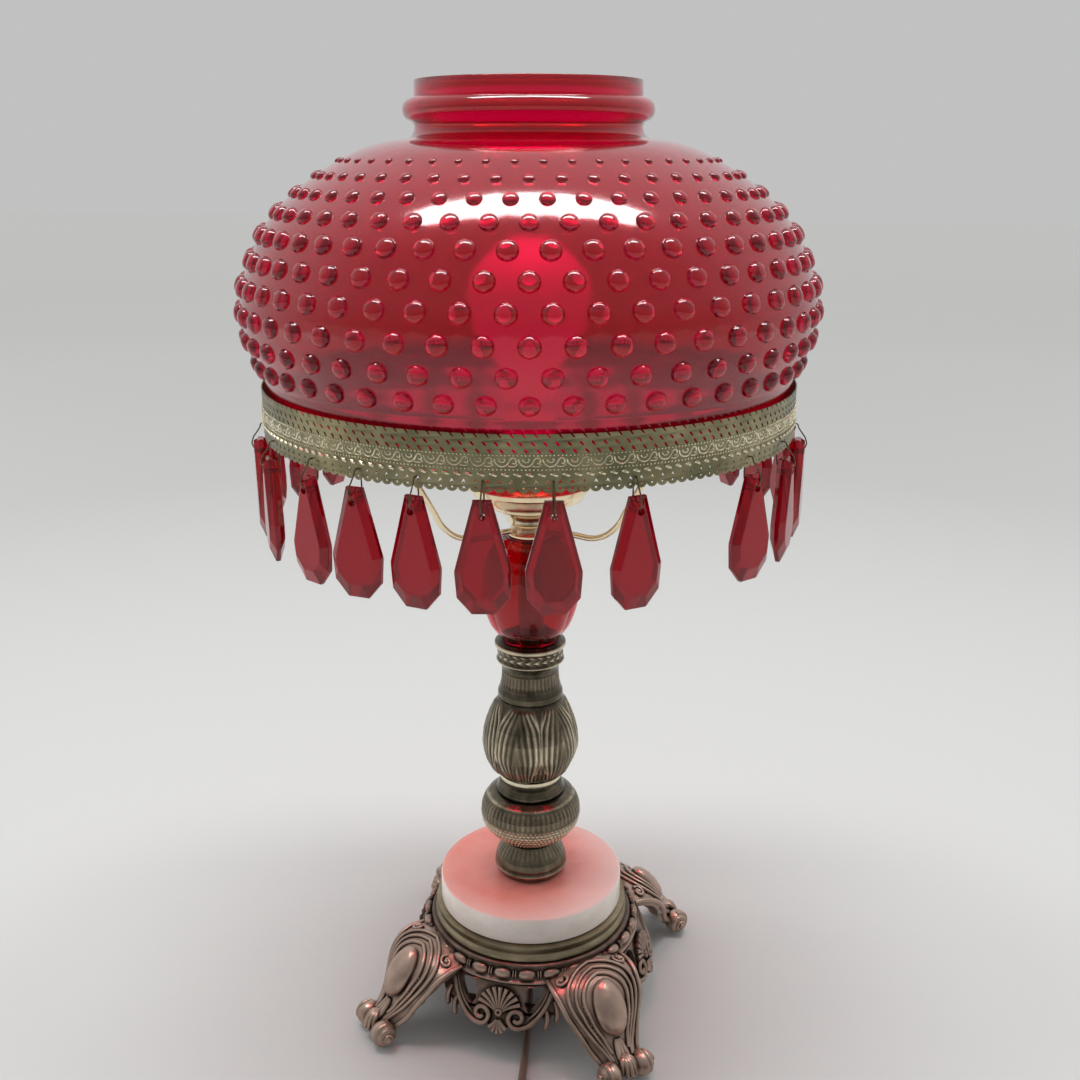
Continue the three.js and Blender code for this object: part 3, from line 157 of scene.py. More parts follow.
# %% World
GREYS_BY_HEIGHT = ((0.0, 0.42), (0.5, 0.56), (0.72, 0.72), (1.0, 0.85))
GREYS_BY_DEPTH = ((0.0, 0.42), (0.35, 0.6), (0.6, 1.0), (1.0, 1.05))
world = bpy.data.worlds.new("studio")
bpy.context.scene.world = world
bpy.context.scene.view_settings.view_transform = "Standard"
world.use_nodes = True
tree = world.node_tree
tree.nodes.clear()
sky_spot = new_node(tree, "TexCoord")
turned_sky = new_node(tree, "Mapping", {"Rotation": (0, 0, -CAMERA_TURN)})
sky_split = new_node(tree, "SeparateXYZ")
sky_colours = []
for axis, greys in (("Z", GREYS_BY_HEIGHT), ("Y", GREYS_BY_DEPTH)):
    half = new_node(tree, "Math", {1: 0.5, 2: 0.5}, operation="MULTIPLY_ADD")
    ramp = new_ramp(tree, [(spot, (grey, grey, grey)) for spot, grey in greys])
    link_all(tree, (sky_split.outputs[axis], half.inputs[0]), (half.outputs[0], ramp.inputs["Fac"]))
    sky_colours.append(ramp.outputs["Color"])
room = new_node(tree, "Mix", {"Factor": 1}, data_type="RGBA", blend_type="MULTIPLY")
light_path = new_node(tree, "LightPath")
lit = new_node(tree, "Background")
shown = new_node(tree, "Background", {"Color": BACKDROP})
choose = new_node(tree, "MixShader")
world_out = new_node(tree, "OutputWorld")
link_all(
    tree,
    (sky_spot.outputs["Generated"], turned_sky.inputs["Vector"]),
    (turned_sky.outputs["Vector"], sky_split.inputs["Vector"]),
    (sky_colours[0], room.inputs["A"]),
    (sky_colours[1], room.inputs["B"]),
    (room.outputs["Result"], lit.inputs["Color"]),
    (light_path.outputs["Is Camera Ray"], choose.inputs["Fac"]),
    (lit.outputs[0], choose.inputs[1]),
    (shown.outputs[0], choose.inputs[2]),
    (choose.outputs[0], world_out.inputs["Surface"]),
)
print("world with", len(tree.nodes), "nodes")

# %% Lamps
LAMP_AIM = Vector((0, 0, 0.3))


def soft_lamp(name, size, spot, watts):
    """A rectangular lamp, placed in the camera's own directions, that looks at the lamp's axis."""
    data = bpy.data.lights.new(name, "AREA")
    data.shape = "RECTANGLE"
    data.size, data.size_y = size
    data.energy = watts
    light = in_scene(name, data)
    place = Matrix.Rotation(CAMERA_TURN, 4, "Z") @ Vector(spot)
    light.location = place
    light.rotation_euler = (LAMP_AIM - place).to_track_quat("-Z", "Y").to_euler()
    return light


overhead = soft_lamp("overhead_bar", (1.5, 0.32), (0, 0.02, 1.75), 24)
overhead.rotation_euler = (0, 0, CAMERA_TURN)
left_window = soft_lamp("left_window", (0.9, 1.4), (-2.4, 0.1, 1.0), 16)
right_wall = soft_lamp("right_wall", (0.9, 1.4), (2.4, 0.3, 0.9), 10)
for lamp in (left_window, right_wall):
    lamp.visible_glossy = False
    lamp.visible_transmission = False
print("three lamps")

# %% [markdown]
# ## Tools for the work
# Most of the lamp is turned on a lathe. A turned piece starts as a circle of vertices at its lowest
# edge, and each step of its outline is one extrude upward and one scale about the axis. The outline
# can go up the outside and down the inside, and bridging its two ends closes the wall. Wires and
# scrolls are curves with a round bevel, made into meshes. What repeats round the axis is modelled
# once and repeated by an Array modifier on a turned pivot.


# %% Helpers for modelling
def only(piece):
    """Makes one piece the selected and active one."""
    bpy.ops.object.select_all(action="DESELECT")
    piece.select_set(True)
    bpy.context.view_layer.objects.active = piece
    return piece


def flowing(points, per_span=4):
    """A smooth line through (radius, height) points, with more points on it."""
    line = []
    for i in range(len(points) - 1):
        before = points[max(i - 1, 0)]
        a, b = points[i], points[i + 1]
        after = points[min(i + 2, len(points) - 1)]
        for k in range(per_span):
            t = k / per_span
            line.append(
                tuple(
                    0.5
                    * (
                        2 * a[n]
                        + (b[n] - before[n]) * t
                        + (2 * before[n] - 5 * a[n] + 4 * b[n] - after[n]) * t * t
                        + (3 * a[n] - before[n] - 3 * b[n] + after[n]) * t**3
                    )
                    for n in range(len(a))
                )
            )
    line.append(tuple(points[-1]))
    return line


def extruded_on(line):
    """In edit mode, extrudes the selected ring along a line of (radius, height) points."""
    radius, height = line[0]
    for r, z in line[1:]:
        bpy.ops.mesh.extrude_region_move(TRANSFORM_OT_translate={"value": (0, 0, (z - height) * MM)})
        bpy.ops.transform.resize(value=(r / radius, r / radius, 1), center_override=(0, 0, 0))
        radius, height = r, z


def turned(name, line, sides=96, closed=True, smooth=35):
    """A turned piece from its (radius, height) outline in millimetres, listed from the bottom up."""
    radius, height = line[0]
    ring = {"vertices": sides, "radius": radius * MM, "location": (0, 0, height * MM)}
    piece = added(name, bpy.ops.mesh.primitive_circle_add, **ring)
    bpy.ops.object.mode_set(mode="EDIT")
    bpy.ops.mesh.select_mode(type="VERT")
    bpy.ops.mesh.select_all(action="SELECT")
    extruded_on(line)
    bpy.ops.mesh.select_all(action="DESELECT")
    bpy.ops.mesh.select_non_manifold()
    if closed:
        bpy.ops.mesh.bridge_edge_loops()
    else:
        bpy.ops.mesh.fill_holes(sides=0)
    bpy.ops.mesh.select_all(action="SELECT")
    bpy.ops.mesh.normals_make_consistent(inside=False)
    bpy.ops.object.mode_set(mode="OBJECT")
    bpy.ops.object.shade_smooth_by_angle(angle=math.radians(smooth))
    return piece


def bored(name, outside, bore, sides=96, smooth=35):
    """A turned piece with a straight hole up its axis; only its outside is listed."""
    line = [*outside, (bore, outside[-1][1]), (bore, outside[0][1])]
    return turned(name, line, sides, True, smooth)


def tidied(piece, distance=0.002):
    """Merges points that coincide and turns every face outward."""
    only(piece)
    bpy.ops.object.mode_set(mode="EDIT")
    bpy.ops.mesh.select_mode(type="VERT")
    bpy.ops.mesh.select_all(action="SELECT")
    bpy.ops.mesh.remove_doubles(threshold=distance * MM)
    bpy.ops.mesh.normals_make_consistent(inside=False)
    bpy.ops.object.mode_set(mode="OBJECT")
    return piece


def thickened(piece, offset, open_sides=False):
    """Extrudes a flat piece whole, by an offset in millimetres; open sides leave its faces out."""
    only(piece)
    bpy.ops.object.mode_set(mode="EDIT")
    bpy.ops.mesh.select_all(action="SELECT")
    if open_sides:
        bpy.ops.mesh.delete(type="ONLY_FACE")
        bpy.ops.mesh.select_all(action="SELECT")
    bpy.ops.mesh.extrude_region_move(TRANSFORM_OT_translate={"value": [step * MM for step in offset]})
    bpy.ops.mesh.select_all(action="SELECT")
    bpy.ops.mesh.normals_make_consistent(inside=False)
    bpy.ops.object.mode_set(mode="OBJECT")
    return piece


def blank_of(name, corners):
    """A flat face with this many corners, whose points are placed next."""
    circle = {"vertices": corners, "radius": 0.01, "fill_type": "NGON"}
    return added(name, bpy.ops.mesh.primitive_circle_add, **circle)


def wire_curve(name, points, radius, widths, smooth_steps, ring):
    """A round curve through points in metres; widths scale its radius from point to point."""
    curve = bpy.data.curves.new(name, "CURVE")
    curve.dimensions = "3D"
    curve.bevel_depth = radius * MM
    curve.bevel_resolution = ring
    curve.resolution_u = smooth_steps
    curve.use_fill_caps = True
    spline = curve.splines.new("BEZIER")
    spline.bezier_points.add(len(points) - 1)
    for spot, at, width in zip(spline.bezier_points, points, widths or [1] * len(points)):
        spot.co = at
        spot.handle_left_type = spot.handle_right_type = "AUTO"
        spot.radius = width
    return in_scene(name, curve)


def tube(name, points, radius, widths=None, smooth_steps=4, ring=2):
    """A round wire as a mesh, through points in millimetres."""
    only(wire_curve(name, [Vector(at) * MM for at in points], radius, widths, smooth_steps, ring))
    bpy.ops.object.convert(target="MESH")
    piece = tidied(bpy.context.object)
    bpy.ops.object.shade_smooth_by_angle(angle=math.radians(60))
    return piece


def joined(name, parts):
    """One object from several."""
    bpy.ops.object.select_all(action="DESELECT")
    for part in parts:
        part.select_set(True)
    bpy.context.view_layer.objects.active = parts[0]
    if len(parts) > 1:
        bpy.ops.object.join()
    piece = bpy.context.object
    piece.name = name
    piece.data.name = name
    return piece


def apply_modifier(piece, kind, **settings):
    """Adds a modifier with these settings and applies it."""
    only(piece)
    modifier = piece.modifiers.new("step", kind)
    for key, value in settings.items():
        setattr(modifier, key, value)
    bpy.context.view_layer.update()
    bpy.ops.object.modifier_apply(modifier="step")
    return piece


def repeated(piece, count, merge=False):
    """The piece and its copies, turned about the lamp's axis at equal steps."""
    pivot = in_scene("pivot", None)
    pivot.rotation_euler = (0, 0, 2 * math.pi / count)
    apply_modifier(
        piece,
        "ARRAY",
        count=count,
        use_relative_offset=False,
        use_object_offset=True,
        offset_object=pivot,
        use_merge_vertices=merge,
        use_merge_vertices_cap=merge,
        merge_threshold=2e-5,
    )
    bpy.data.objects.remove(pivot)
    return piece


def turned_copy(piece, name, degrees):
    """A copy with its own mesh, turned about the lamp's axis."""
    copy = in_scene(name, piece.data.copy())
    copy.data.name = name
    copy.data.transform(Matrix.Rotation(math.radians(degrees), 4, "Z"))
    return copy


def copies_at(piece, angles):
    """Copies of a piece at these angles round the axis, in place of the piece itself."""
    copies = [turned_copy(piece, f"{piece.name}_{i + 1:02d}", angle) for i, angle in enumerate(angles)]
    bpy.data.objects.remove(piece)
    return copies


def raise_surface(piece, height_at):
    """Moves each point outward by millimetres of relief, and keeps how high it is as an attribute."""
    mesh = piece.data
    relief = mesh.attributes.new("relief", "FLOAT", "POINT")
    for i, vertex in enumerate(mesh.vertices):
        x, y, z = vertex.co
        radius = math.hypot(x, y)
        lift, share = height_at(math.degrees(math.atan2(x, -y)), z / MM, radius / MM)
        factor = (radius + lift * MM) / radius
        vertex.co = (x * factor, y * factor, z)
        relief.data[i].value = share
    mesh.update()
    return piece


def on_axis(radius, degrees, height):
    """A point in millimetres at this angle round the axis: 0 is toward -Y, and it grows toward +X."""
    a = math.radians(degrees)
    return Vector((radius * math.sin(a), -radius * math.cos(a), height))


def dress(piece, body, material, slot, *nodes):
    """Gives a finished piece its finish, its body, and the plain solids that it stands for."""
    piece.data.materials.clear()
    piece.data.materials.append(material)
    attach(piece, body)
    if nodes:
        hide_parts(*nodes)
    print(f"{piece.name}: {len(piece.data.polygons)} faces")
    return piece


# %% [markdown]
# ## Finishes
# Metal and stone are never one flat colour. Each finish starts from the shader's plain values, and a
# noise on the object's own coordinates mixes two or three colours, changes the roughness a little
# and raises a fine bump. Cast pieces also read how high each point of their ornament stands, so
# their hollows are dark and their high points are rubbed bright, as on old brass. The shade's glass
# is a little cloudy under a clear gloss, and the frosted bulb glows faintly behind it.


# %% Helpers for finishes
def finish_named(name, colour, metallic=0.0, roughness=0.5, **more):
    """A new material with plain values on its shader."""
    material = bpy.data.materials.new(name)
    material.use_nodes = True
    shader = material.node_tree.nodes["Principled BSDF"]
    shader.inputs["Base Color"].default_value = (*colour, 1)
    shader.inputs["Metallic"].default_value = metallic
    shader.inputs["Roughness"].default_value = roughness
    for key, value in more.items():
        shader.inputs[key.replace("_", " ")].default_value = value
    return material


def noise_on(material, scale, detail=4.0, stretch=(1, 1, 1), rough=0.55):
    """A noise texture on the object's own coordinates."""
    tree = material.node_tree
    place = new_node(tree, "TexCoord")
    mapping = new_node(tree, "Mapping", {"Scale": stretch})
    noise = new_node(tree, "TexNoise", {"Scale": scale, "Detail": detail, "Roughness": rough})
    link_all(
        tree,
        (place.outputs["Object"], mapping.inputs["Vector"]),
        (mapping.outputs["Vector"], noise.inputs["Vector"]),
    )
    return noise.outputs["Fac"]


def to_shader(material, output, socket):
    """Lets an output set one of the shader's inputs."""
    material.node_tree.links.new(output, material.node_tree.nodes["Principled BSDF"].inputs[socket])


def ramp_on(material, source, stops):
    """A source's values as colours, by (place, colour) stops."""
    ramp = new_ramp(material.node_tree, stops)
    material.node_tree.links.new(source, ramp.inputs["Fac"])
    return ramp.outputs["Color"]


def roughness_by(material, source, smoothest, roughest):
    """Spreads the roughness between two values."""
    spread = new_node(material.node_tree, "MapRange", {"To Min": smoothest, "To Max": roughest})
    material.node_tree.links.new(source, spread.inputs["Value"])
    to_shader(material, spread.outputs["Result"], "Roughness")


def bump_by(material, source, height, strength):
    """Raises the surface by a texture, by a height in millimetres."""
    bump = new_node(material.node_tree, "Bump", {"Strength": strength, "Distance": height * MM})
    material.node_tree.links.new(source, bump.inputs["Height"])
    to_shader(material, bump.outputs["Normal"], "Normal")


def relief_and_noise(material, noise, amount, hollow_size):
    """How high the ornament stands at a point, roughened by noise and lowered in narrow hollows."""
    tree = material.node_tree
    relief = new_node(tree, "Attribute", attribute_name="relief")
    mix = new_node(tree, "Math", {1: amount}, operation="MULTIPLY_ADD")
    openness = new_node(tree, "AmbientOcclusion", {"Distance": hollow_size * MM}, samples=4)
    lowered = new_node(tree, "Math", operation="MULTIPLY")
    link_all(
        tree,
        (noise, mix.inputs[0]),
        (relief.outputs["Fac"], mix.inputs[2]),
        (mix.outputs[0], lowered.inputs[0]),
        (openness.outputs["AO"], lowered.inputs[1]),
    )
    return lowered.outputs[0]


def mottled(material, noise, spread, stops=None, relief=None):
    """Lets one noise mix a finish's colours, with the relief if there is one, and its roughness."""
    texture = noise_on(material, *noise)
    if stops:
        source = relief_and_noise(material, texture, *relief) if relief else texture
        to_shader(material, ramp_on(material, source, stops), "Base Color")
    if spread:
        roughness_by(material, texture, *spread)
    return texture


def grained(material, noise, height, strength):
    """Gives a finish a fine grain of its own."""
    bump_by(material, noise_on(material, *noise), height, strength)


# %% Glass
shade_gloss = {"IOR": 1.5, "Coat_Weight": 0.34, "Coat_Roughness": 0.02}
shade_glass = finish_named("ruby_shade_glass", (0.7, 0.0, 0.042), 0, 0.11, Transmission_Weight=0.9, **shade_gloss)
grained(shade_glass, (55, 2), 0.25, 0.35)
prism_glass = finish_named("ruby_prism_glass", (0.43, 0.0, 0.01), 0, 0.02, Transmission_Weight=0.72, IOR=1.52)
bump_by(prism_glass, mottled(prism_glass, (110, 3), (0.01, 0.05)), 0.06, 0.2)
font_glass = finish_named("ruby_font_glass", (0.58, 0.0, 0.02), 0, 0.03, Transmission_Weight=1, IOR=1.5)
grained(font_glass, (60, 2), 0.2, 0.3)
frosted_glass = finish_named("frosted_bulb", (0.95, 0.94, 0.92), 0, 0.4, Emission_Strength=0.3)
grained(frosted_glass, (900, 3), 0.05, 0.3)
print("four kinds of glass")

# %% Brass, bronze and the other metals
antique = finish_named("antique_brass", (0.2, 0.14, 0.1), 0.9, 0.34)
antique_stops = [(0.0, (0.014, 0.01, 0.008)), (0.3, (0.11, 0.075, 0.058))]
antique_stops += [(0.6, (0.42, 0.3, 0.24)), (1, (0.82, 0.62, 0.5))]
mottled(antique, (130, 5), (0.22, 0.46), antique_stops, (0.35, 3.0))
grained(antique, (420, 3), 0.12, 0.5)

bronze = finish_named("green_bronze", (0.06, 0.06, 0.045), 0.9, 0.36)
bronze_stops = [(0.0, (0.01, 0.01, 0.007)), (0.3, (0.045, 0.042, 0.03))]
bronze_stops += [(0.55, (0.22, 0.18, 0.12)), (0.9, (0.85, 0.76, 0.56))]
mottled(bronze, (190, 5, (1, 1, 0.5)), (0.14, 0.34), bronze_stops, (0.42, 1.6))
grained(bronze, (600, 3), 0.08, 0.4)

olive_brass = finish_named("olive_brass", (0.4, 0.34, 0.18), 1, 0.33)
olive_stops = [(0.3, (0.2, 0.17, 0.09)), (0.55, (0.42, 0.36, 0.2)), (0.75, (0.6, 0.52, 0.32))]
mottled(olive_brass, (60, 5, (1, 1, 2)), (0.24, 0.42), olive_stops)

khaki_brass = finish_named("khaki_brass", (0.17, 0.15, 0.1), 1, 0.44)
khaki_stops = [(0.3, (0.2, 0.17, 0.11)), (0.55, (0.34, 0.29, 0.19)), (0.75, (0.46, 0.4, 0.28))]
mottled(khaki_brass, (60, 5, (1, 1, 3)), (0.36, 0.5), khaki_stops)

band_brass = finish_named("filigree_brass", (0.46, 0.39, 0.18), 1, 0.3)
band_stops = [(0.3, (0.15, 0.145, 0.08)), (0.5, (0.25, 0.23, 0.13)), (0.72, (0.42, 0.37, 0.22))]
mottled(band_brass, (40, 4), (0.24, 0.42), band_stops)
grained(band_brass, (260, 3), 0.12, 0.5)

bright_band = finish_named("bright_band_brass", (0.5, 0.45, 0.3), 1, 0.26)
bright_band_stops = [(0.3, (0.55, 0.5, 0.34)), (0.5, (0.78, 0.72, 0.52)), (0.72, (0.92, 0.88, 0.7))]
mottled(bright_band, (50, 4), (0.18, 0.34), bright_band_stops)

bright_brass = finish_named("bright_brass", (0.72, 0.58, 0.32), 1, 0.2)
bright_stops = [(0.3, (0.78, 0.62, 0.38)), (0.6, (0.95, 0.82, 0.58)), (0.8, (0.98, 0.9, 0.7))]
mottled(bright_brass, (70, 4), (0.14, 0.3), bright_stops)

hook_brass = finish_named("hook_wire_brass", (0.16, 0.12, 0.07), 1, 0.36)
mottled(hook_brass, (300, 3), (0.2, 0.45))
pipe_brass = finish_named("pipe_brass", (0.5, 0.42, 0.25), 1, 0.35)
grained(pipe_brass, (300, 2, (0.1, 0.1, 9)), 0.1, 0.4)
steel = finish_named("plain_steel", (0.5, 0.5, 0.48), 1, 0.35)
mottled(steel, (200, 4), (0.25, 0.5))
grained(steel, (800, 2, (0.2, 0.2, 6)), 0.05, 0.3)
aluminium = finish_named("spun_aluminium", (0.75, 0.75, 0.73), 1, 0.3)
grained(aluminium, (500, 2, (0.1, 0.1, 8)), 0.05, 0.4)
print("eleven metals")

# %% [markdown]
# The marble's top is painted pink: it is painted red light that the ruby glass casts on the white stone.
# The painted light is strongest round a spot left of the middle, and paler toward the right side and
# round the edge. So one veined painted-red colour is mixed with a paler painted pink by the distance
# from that spot, and both give way to the stone's own whiter colour where a face looks sideways.

# %% Marble
RED_GLOW_MIDDLE = (-0.012, 0.002, 0)
RED_GLOW_REACH, GLOW_FADE_REACH, MOST_GLOW_FADE = 0.034, 0.062, 0.9
FADED_GLOW_PINK = (0.97, 0.74, 0.69, 1)
# The top's pink is painted red light, not the stone's own colour; the side colours are the stone's own.
marble = finish_named("marble_painted_red_glow", (0.8, 0.5, 0.45), 0, 0.26)
tree = marble.node_tree
marble_noise = noise_on(marble, 16, 8, (1, 1, 1.4), 0.62)
red_glow_stops = [(0.3, (0.74, 0.2, 0.16)), (0.45, (0.9, 0.3, 0.25))]
red_glow_stops += [(0.6, (0.95, 0.37, 0.31)), (0.8, (0.96, 0.48, 0.42))]
side_stops = [(0.3, (0.7, 0.62, 0.56)), (0.5, (0.88, 0.8, 0.74)), (0.75, (0.94, 0.88, 0.83))]
spot = new_node(tree, "TexCoord")
flat_spot = new_node(tree, "VectorMath", {1: (1, 1, 0)}, operation="MULTIPLY")
from_glow_middle = new_node(tree, "VectorMath", {1: RED_GLOW_MIDDLE}, operation="DISTANCE")
glow_fade_range = {"From Min": RED_GLOW_REACH, "From Max": GLOW_FADE_REACH, "To Max": MOST_GLOW_FADE}
glow_fade = new_node(tree, "MapRange", glow_fade_range)
faded_glow = new_node(tree, "Mix", {"B": FADED_GLOW_PINK}, data_type="RGBA")
facing = new_node(tree, "NewGeometry")
facing_split = new_node(tree, "SeparateXYZ")
# Faces that look up get the painted red light; faces that look sideways keep the stone's own colour.
glow_on_top = new_node(tree, "MapRange", {"From Min": 0.25, "From Max": 0.95})
glow_or_stone = new_node(tree, "Mix", data_type="RGBA")
link_all(
    tree,
    (spot.outputs["Object"], flat_spot.inputs[0]),
    (flat_spot.outputs["Vector"], from_glow_middle.inputs[0]),
    (from_glow_middle.outputs["Value"], glow_fade.inputs["Value"]),
    (glow_fade.outputs["Result"], faded_glow.inputs["Factor"]),
    (ramp_on(marble, marble_noise, red_glow_stops), faded_glow.inputs["A"]),
    (facing.outputs["Normal"], facing_split.inputs["Vector"]),
    (facing_split.outputs["Z"], glow_on_top.inputs["Value"]),
    (glow_on_top.outputs["Result"], glow_or_stone.inputs["Factor"]),
    (ramp_on(marble, marble_noise, side_stops), glow_or_stone.inputs["A"]),
    (faded_glow.outputs["Result"], glow_or_stone.inputs["B"]),
)
to_shader(marble, glow_or_stone.outputs["Result"], "Base Color")
print("marble with", len(tree.nodes), "nodes")

# %% Cord, plastic and fibre
cord_brown = finish_named("brown_cord", (0.15, 0.095, 0.07), 0, 0.42)
bump_by(cord_brown, mottled(cord_brown, (300, 3), (0.35, 0.55)), 0.08, 0.3)
black_plastic = finish_named("black_plastic", (0.012, 0.012, 0.012), 0, 0.35)
mottled(black_plastic, (500, 3), (0.28, 0.5))
fibre = finish_named("brown_fibre", (0.2, 0.12, 0.07), 0, 0.9)
mottled(fibre, (400, 4, (1, 1, 0.2)), None, [(0.3, (0.14, 0.08, 0.045)), (0.7, (0.28, 0.18, 0.1))])
print(len(bpy.data.materials), "finishes")

# %% [markdown]
# ## The cord
# A lamp of this kind has about 1.8 m of cord. It comes down out of the pipe under the base, bends
# onto the table and leaves the photograph at its lower edge. What the photograph doesn't show is
# wound into a neat coil just past that edge, in four layers, and held by a tie. The whole cord is
# one open curve, because a real cord is one length of wire.

# %% Cord
CORD_RADIUS = 2.0
FLOOR_LEVEL = CORD_RADIUS + 0.2
COIL_LAYERS = 4
COIL_TURNS = 11.25
COIL_PITCH = 4.5
COIL_MEAN_RADIUS = 22.0
COIL_LOWEST = 2.85
COIL_SPREAD = COIL_TURNS / COIL_LAYERS * COIL_PITCH / 2
COIL_OUTER = COIL_MEAN_RADIUS + COIL_SPREAD
COIL_INNER = COIL_MEAN_RADIUS - COIL_SPREAD
COIL_ENTRY = (-8.0, -143.6)
COIL_CENTRE = (COIL_ENTRY[0] + COIL_OUTER, COIL_ENTRY[1])
COIL_HIGHEST = COIL_LOWEST + (COIL_LAYERS - 1) * COIL_PITCH
EXIT_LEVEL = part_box("cord_bushing")[0].z / MM
STEPS_PER_TURN = 16
PLUG_FROM_COIL = (52, 24.6)


def eased(t, low, high):
    """A smooth step from 0 to 1."""
    s = min(max((t - low) / (high - low), 0), 1)
    return s * s * (3 - 2 * s)


def coil_point(turn):
    """The coil spirals in and out at a steady rate, and climbs a layer where it turns back."""
    per_layer = COIL_TURNS / COIL_LAYERS
    layer = min(int(turn // per_layer), COIL_LAYERS - 1)
    within = turn / per_layer - layer
    start, end = (COIL_OUTER, COIL_INNER) if layer % 2 == 0 else (COIL_INNER, COIL_OUTER)
    r = start + (end - start) * within
    z = COIL_LOWEST
    for k in range(1, COIL_LAYERS):
        z += COIL_PITCH * eased(turn - k * per_layer, -0.25, 0.25)
    a = math.pi + turn * 2 * math.pi
    return (COIL_CENTRE[0] + r * math.cos(a), COIL_CENTRE[1] + r * math.sin(a), z)


run = [
    (0, 0, EXIT_LEVEL),
    (0, 0, EXIT_LEVEL - 6),
    (0, -1.2, 20),
    (-0.2, -5.5, 12.5),
    (-0.5, -12.5, 6.5),
    (-0.8, -21, 3.2),
    (-1.1, -30, FLOOR_LEVEL),
    (-1.7, -44, FLOOR_LEVEL),
    (-3, -62, FLOOR_LEVEL),
    (-4.7, -82, FLOOR_LEVEL),
    (-6.4, -101, FLOOR_LEVEL),
    (COIL_ENTRY[0], -122, COIL_LOWEST),
    (COIL_ENTRY[0], COIL_ENTRY[1] + 6, COIL_LOWEST),
]
steps = round(COIL_TURNS * STEPS_PER_TURN)
coil = [coil_point(i * COIL_TURNS / steps) for i in range(steps + 1)]
tail_x, tail_y = COIL_CENTRE[0], COIL_CENTRE[1] - COIL_OUTER
tail = [
    (tail_x + 10, tail_y, COIL_HIGHEST - 0.4),
    (tail_x + 19, tail_y + 0.3, COIL_HIGHEST - 4.6),
    (tail_x + 28, tail_y + 1.2, 6),
    (tail_x + 36, tail_y + 3.4, 2.6),
    (tail_x + 43, tail_y + 7.4, FLOOR_LEVEL + 0.4),
    (tail_x + 48.6, tail_y + 13, 3.4),
    (tail_x + 51.4, tail_y + 18.6, 5.25),
    (tail_x + 52, tail_y + 22, 6.05),
    (tail_x + PLUG_FROM_COIL[0], tail_y + PLUG_FROM_COIL[1], 6.05),
]
to_row = Matrix.Rotation(CAMERA_TURN, 4, "Z")
cord_points = [to_row @ (Vector(p) * MM) for p in [*run, *coil, *tail]]
cord = wire_curve("cord", cord_points, CORD_RADIUS, None, 3, 3)

# %% [markdown]
# The plug is one moulding with a tapered strain relief, so it is one outline, extruded to its
# thickness and rounded by a bevel. Its two blades are set into its end.

# %% Plug and tie
PLUG_BOTTOM, PLUG_HEIGHT = 0.05, 12.0
BLANK_BOTTOM, BLANK_HEIGHT = 1.2, 9.6
STRAIN_RELIEF_SHARE = 0.42
PLUG_ROUNDING, BLADE_ROUNDING, TIE_ROUNDING = 1.3, 0.4, 0.1
BLADE_SIZE = Vector((1.5, 17, 6.3))
BLADE_ASIDE, BLADE_MIDDLE = 6.35, 45.3
TAPER_FROM, TAPER_TO = 6, 22
TIE_WIDTH, TIE_THICKNESS, TIE_GAP, TIE_HEADROOM = 6, 0.33, 0.7, 0.3
plug_root = Vector((tail_x + PLUG_FROM_COIL[0], tail_y + PLUG_FROM_COIL[1], PLUG_BOTTOM))
half_outline = [(2.3, 0), (3.4, 8), (4.4, 13), (8.5, 18.5), (11.6, 24), (12, 27), (12, 37), (11, 38)]
outline = [*half_outline, *[(-x, y) for x, y in reversed(half_outline)]]
plug_body = blank_of("plug_body", len(outline))
for vertex, (x, y) in zip(plug_body.data.vertices, reversed(outline)):
    vertex.co = (plug_root + Vector((x, y, BLANK_BOTTOM))) * MM
thickened(plug_body, (0, 0, BLANK_HEIGHT))
for vertex in plug_body.data.vertices:
    along = vertex.co.y / MM - plug_root.y
    share = STRAIN_RELIEF_SHARE + (1 - STRAIN_RELIEF_SHARE) * eased(along, TAPER_FROM, TAPER_TO)
    middle = (PLUG_BOTTOM + PLUG_HEIGHT / 2) * MM
    vertex.co.z = middle + (vertex.co.z - middle) * share * PLUG_HEIGHT / BLANK_HEIGHT
apply_modifier(plug_body, "BEVEL", width=PLUG_ROUNDING * MM, segments=3, limit_method="ANGLE", angle_limit=0.9)
blades = []
for side in (-1, 1):
    blade = added("blade", bpy.ops.mesh.primitive_cube_add, size=1, scale=BLADE_SIZE * MM)
    centre = plug_root + Vector((side * BLADE_ASIDE, BLADE_MIDDLE, PLUG_HEIGHT / 2))
    blade.data.transform(Matrix.Translation(centre * MM))
    apply_modifier(blade, "BEVEL", width=BLADE_ROUNDING * MM, segments=2)
    blades.append(blade)
plug_blades = joined("plug_blades", blades)
for piece in (plug_body, plug_blades):
    piece.data.transform(to_row)

tie_left, tie_right = COIL_INNER - CORD_RADIUS - TIE_GAP, COIL_OUTER + CORD_RADIUS + TIE_GAP
tie_low, tie_high = COIL_LOWEST - CORD_RADIUS - TIE_HEADROOM, COIL_HIGHEST + CORD_RADIUS + TIE_HEADROOM
corners = [(tie_left, tie_low), (tie_right, tie_low), (tie_left, tie_high), (tie_right, tie_high)]
cord_tie = added("cord_tie_strip", bpy.ops.mesh.primitive_plane_add, size=1)
for vertex, (x, z) in zip(cord_tie.data.vertices, corners):
    vertex.co = Vector((COIL_CENTRE[0] + x, COIL_CENTRE[1] - TIE_WIDTH / 2, z)) * MM
thickened(cord_tie, (0, TIE_WIDTH, 0), open_sides=True)
apply_modifier(cord_tie, "SOLIDIFY", thickness=TIE_THICKNESS * MM, offset=1)
apply_modifier(cord_tie, "BEVEL", width=TIE_ROUNDING * MM, segments=2, limit_method="ANGLE", angle_limit=0.9)
cord_tie.data.transform(to_row)

dress(plug_body, "lamp", cord_brown, "brown_cord", "plug")
dress(plug_blades, "lamp", bright_brass, "bright_brass", "plug")
dress(cord_tie, "lamp", black_plastic, "black_plastic", "cord_tie")
cord.data.materials.append(cord_brown)
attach(cord, "lamp")
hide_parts("cord_run", "cord_coil", "cord_tail")
print("plug and tie")

